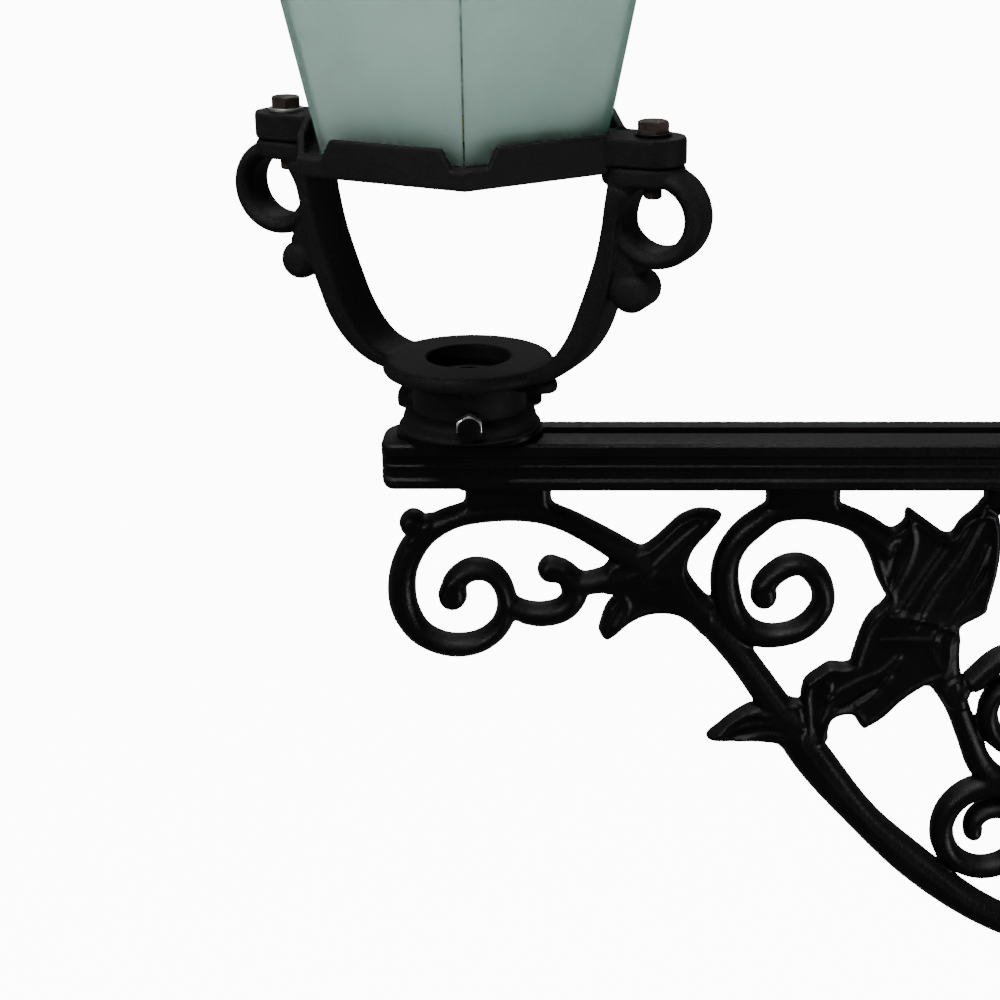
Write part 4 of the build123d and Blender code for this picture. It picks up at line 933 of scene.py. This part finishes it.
CASTING_TOP, COLLAR_LEVEL, SHAFT_TOP = 640, 1500, 2600
foot_ring = [
    (82.3, 0), (117.2, 0), (118, 0.8), ((126, 14), (116, 28)), (114, 28.6), (104, 32), ((92, 44), (88, 61.2)),
    (87, 62), (82.3, 62)]
turning("foot_ring", foot_ring, CASTING_TOP + 60.3, POST, 128, closed=True)
middle_collar = [
    (61, 0), (81.2, 0), (82, 0.8), ((91, 12), (82, 24)), (76.6, 27.6), (76, 28.4), (76, 44),
    ((84, 52), (76, 60)), (67, 67.2), (66, 68), (61, 68)]
turning("middle_collar", middle_collar, COLLAR_LEVEL, POST, 128, closed=True)
capital = [
    (0, 30), (44, 30), (44, 0), (63.2, 0), (64, 0.8), ((72, 9), (64, 18)), ((66, 34), (83.2, 44)), (84, 44.8),
    (84, 56), ((60, 70), (30, 74)), (0, 74)]
turning("capital", capital, SHAFT_TOP, POST, 128)
post_finial = [
    (0, 0), (30, 0), ((22, 10), (20, 20)), (29, 25.4), (30, 26.4), ((38, 50), (20, 80)), (12, 90),
    ((9, 98), (3, 101)), (0, 101)]
turning("post_finial", post_finial, SHAFT_TOP + 74, POST)
pipe = [
    (51, 1530), (60, 1530), (57, 2020), (57, SHAFT_TOP - 0.8), (56.2, SHAFT_TOP), (48, SHAFT_TOP), (48, 2020)]
turning("upper_shaft", pipe, 0, POST, 128, closed=True)

FLUTES, FLUTE_DEPTH, FLUTE_RADIUS = 16, 3.5, 9
FLUTE_HALF = 7.12        # half the width of a flute on the shaft's surface


def fluted_shaft():
    """The lower shaft: a tapered tube with sixteen flutes, each with round ends."""
    foot, top, low, high = 692, COLLAR_LEVEL, 812, 1430
    levels = [foot] + [low + k for k in (-1, 0, 1, 2, 3, 4, 5.5, 7)] + [900, 1000, 1100, 1200, 1300]
    levels += [high - k for k in (7, 5.5, 4, 3, 2, 1, 0, -1)] + [top]
    across = [-FLUTE_HALF * cos(pi * k / 12) for k in range(13)]
    rows = []
    for z in levels:
        radius = 82 - 14 * (z - foot) / (top - foot)
        beyond = max(low + 7 - z, z - high + 7, 0)
        row = []
        for flute in range(FLUTES):
            for u in across:
                room = FLUTE_RADIUS**2 - u * u - beyond * beyond
                depth = max(sqrt(room) - FLUTE_RADIUS + FLUTE_DEPTH, 0) if room > 0 else 0
                a = 2 * pi * flute / FLUTES + u / radius
                row.append(((radius - depth) * cos(a), (radius - depth) * sin(a), z))
            for share in (0.33, 0.67):
                land = 1 - FLUTES * FLUTE_HALF / pi / radius
                a = 2 * pi * (flute + 0.5 + (share - 0.5) * land) / FLUTES
                row.append((radius * cos(a), radius * sin(a), z))
        rows.append(row)
    for z, radius in ((top, 59), (foot, 73)):
        rows.append([(radius * x / hypot(x, y), radius * y / hypot(x, y), z) for x, y, _ in rows[0]])
    return skin(rows, closed=True)


piece("lower_shaft", fluted_shaft(), POST, "lower_shaft", sharp=28)


def faceted(profile, sides, start, closed=False):
    """Like a lathe, with flat sides: points are (distance of the flats, z)."""
    spread = 1 / cos(pi / sides)
    mesh = lathe([(r * spread, z) for r, z in profile], sides, closed)
    return moved(mesh, Matrix.Rotation(start, 4, "Z"))


cornice = [
    (60, 0), (181, 0), (186, 5), (186, 12), (184.5, 13.6), (178, 14), (176, 16), ((174, 23), (168, 30)),
    (158.6, 30), (158, 31), ((155, 40), (146, 45)), (141, 46), (140, 47.5), (140, 58.5), (138.5, 60),
    (82.7, 60), (82.7, 52), (60, 52)]
piece("cornice", faceted(turned(cornice, CASTING_TOP), 8, pi / 8, True), POST, "base_cornice", sharp=20)


def softened(node, width):
    """A CAD node's shape with its long edges rounded, drawn in millimetres in the frame."""
    source = frame["nodes"][node]
    work = bmesh.new()
    work.from_mesh(source.data)
    work.transform(Matrix.Scale(1 / MM, 4) @ source.matrix_world)
    bmesh.ops.remove_doubles(work, verts=work.verts, dist=0.01)
    bmesh.ops.dissolve_limit(work, angle_limit=radians(1), verts=work.verts, edges=work.edges)
    mesh = bpy.data.meshes.new("mesh")
    work.to_mesh(mesh)
    work.free()
    return bevelled(mesh, width, 2, 35)


for node, width in (
    ("base_plate", 3), ("base_casting", 1.6), ("access_door", 0.8), ("clamp_upper_front", 2),
    ("clamp_upper_rear", 2), ("clamp_lower_front", 2), ("clamp_lower_rear", 2), ("crown_frame", 1),
    ("vent_drum", 0.8), ("thumb_screw", 0.7), ("door_lock", 0.5), ("fuse_box", 0.5), ("fuse_carrier", 0.5),
    ("tray_gland", 0.6), ("lampholder", 1.2), ("lamp_bridge", 0.4),
):
    piece(f"soft_{node}", softened(node, width), POST, node, sharp=30)


def bolts(node, places, flats, head, shank=0.0, length=0.0):
    """All the bolts or nuts of one CAD node."""
    piece(node, joined(*[moved(hex_bolt(flats, head, shank, length), place) for place in places]), POST, node)


facing_arm = Matrix.Rotation(-pi / 2, 4, "Y")
disc_level = DISC_TOP / MM
CLAMP_MIDDLES = (-72, -486)    # below the disc
CLAMP_FACE = 12                # from the post axis to the back of a clamp's ear
BASE_BOLT_CIRCLE, BASE_SEAT = 194, 44
ear_bolts = [Matrix.Translation((0, y, disc_level + middle + z))
             for middle in CLAMP_MIDDLES for y in (84, -84) for z in (-20, 20)]
behind = Matrix.Translation((CLAMP_FACE, 0, 0))
before = Matrix.Translation((-CLAMP_FACE, 0, 0))
bolts("clamp_bolts", [behind @ ear @ FACE_OUT for ear in ear_bolts], 19, 7.5, 6, 40)
bolts("clamp_nuts", [before @ ear @ facing_arm for ear in ear_bolts], 19, 10)
bolts("arm_bolts", [Matrix.Translation((-98, y, disc_level + z)) @ facing_arm
                    for y in (-38, 38) for z in (-92, -52, -508, -464)], 17, 6.4, 5, 24)
bolts("base_bolts", [Matrix.Translation((x, y, BASE_SEAT)) for x, y in ring_points(BASE_BOLT_CIRCLE, 8)],
      24, 10, 8.4, 16)

# ---- roof

ROOF = 574               # underside of the roof above the cradle disc


def roof():
    """The roof: a six-sided bell with a lug for the thumb screw and two hinge knuckles."""
    slope = [(r, z) for r, z in smooth_path([(226, 10), (172, 40), (124, 95), (92, 150), (74, 190)], 6)]
    outside = [(222.5, 0), (225.3, 0.7), (226, 2), (226, 9.3)] + slope + [(48, 190)]
    inside = [(48, 186)] + [(r - 4, z - 4) for r, z in reversed(slope)] + [(222, 5), (222, 1)]
    flats = cos(pi / 6)
    parts = [faceted([(r * flats, z + ROOF) for r, z in outside + inside], 6, radians(30), True)]
    parts.append(bevelled(prism(slot_outline(46, 24, 200), ROOF + 0.5, ROOF + 5.5), 0.8))
    for y in (-52, 52):
        barrel = lathe([(4.05, -7), (6.5, -7), (7, -6.5), (7, 6.5), (6.5, 7), (4.05, 7)], 40, closed=True)
        parts.append(moved(barrel, Matrix.Translation((-208, y, ROOF + 5)) @ STAND))
        leaf = [(-206, y - 7), (-188, y - 7), (-188, y + 7), (-206, y + 7)]
        parts.append(bevelled(prism(leaf, ROOF + 1.5, ROOF + 8.5), 0.6))
    return joined(*parts)


piece("roof", roof(), LANTERN, "roof_shell", sharp=25)
vent_cap = [(0, 0), (71, 0), (72, 0.6), ((76, 5), (72, 10)), ((48, 34), (16, 46)), (0, 46)]
turning("vent_cap", vent_cap, ROOF + 234, LANTERN)
roof_finial = [
    (0, 0), (16, 0), ((11, 6), (9, 14)), ((17, 20.5), (20, 31)), ((16.5, 43), (8, 50)), (6, 60),
    ((5, 64), (2, 66)), (0, 66)]
turning("roof_finial", roof_finial, ROOF + 280, LANTERN, 72)
bulb = [(0, 549), (13.5, 549), (13.5, 518), ((20, 500), (32, 480)), ((30, 452), (8, 433)), (0, 433)]
turning("lamp", bulb, 0, LANTERN, 72)
dish = [(24.3, 545), (119, 500.8), (120, 499.6), (120, 497.4), (119, 497.2), (24.3, 542)]
turning("reflector", dish, 0, LANTERN, closed=True)

# ---- camera, light and floor

camera_data = bpy.data.cameras.new("camera")
camera_data.lens = 68.04
camera_data.shift_x = -0.1
camera = placed("camera", camera_data)
camera.location = (AXIS_X + 0.09205, -1.27460, DISC_TOP + 0.36845)
camera.rotation_euler = (radians(69.55), 0, 0)
bpy.context.scene.camera = camera


def soft_light(name, place, target, size, power):
    """A round lamp that is not itself seen, turned to a target; metres and watts."""
    data = bpy.data.lights.new(name, "AREA")
    data.shape = "DISK"
    data.size = size
    data.energy = power
    lamp = placed(name, data)
    lamp.location = place
    lamp.visible_camera = False
    lamp.rotation_euler = (Vector(target) - Vector(place)).to_track_quat("-Z", "Y").to_euler()


middle = (AXIS_X + 0.3, 0, DISC_TOP)
soft_light("overhead", (AXIS_X - 0.2, -0.5, DISC_TOP + 2.2), middle, 1.2, 90)
soft_light("front_left", (AXIS_X - 2.2, -2.6, DISC_TOP + 1.6), middle, 0.8, 40)
soft_light("behind", (AXIS_X, 3.4, DISC_TOP + 3.0), middle, 1.2, 30)
soft_light("low_right", (2.6, -1.6, 1.2), (0, 0, 0.9), 1.4, 45)

world = bpy.data.worlds.new("studio")
world.use_nodes = True
bpy.context.scene.world = world
background = world.node_tree.nodes["Background"]
background.inputs["Color"].default_value = (1, 1, 1, 1)
background.inputs["Strength"].default_value = 0.14

floor_material, floor_tree, floor_shader = node_material("floor")
floor_noise = add_noise(floor_tree, 0.8, 3)
floor_tone = add_ramp(floor_tree, floor_noise, ((0.3, 0.9), (0.7, 0.86)))
floor_tree.links.new(floor_tone, floor_shader.inputs["Base Color"])
floor_shader.inputs["Roughness"].default_value = 0.9
floor_shader.inputs["Emission Color"].default_value = (1, 1, 1, 1)
floor_shader.inputs["Emission Strength"].default_value = 12


def stage_piece(name, mesh):
    """Part of the studio: seen pale, and lighting nothing."""
    mesh.materials.append(floor_material)
    obj = placed(name, mesh)
    obj.visible_diffuse = False
    obj.visible_glossy = False
    obj.visible_shadow = False
    return obj


FLOOR_RADIUS, DOME_RADIUS = 120, 118
stage_piece("floor", mesh_of([(x, y, -0.0005) for x, y in ring_points(FLOOR_RADIUS, 64)], [tuple(range(64))]))
dome_profile = [(DOME_RADIUS * cos(a), DOME_RADIUS * sin(a) - 0.2) for a in np.linspace(0, pi / 2, 12)]
dome = stage_piece("backdrop", lathe(dome_profile[:-1], 48))
dome.visible_transmission = False
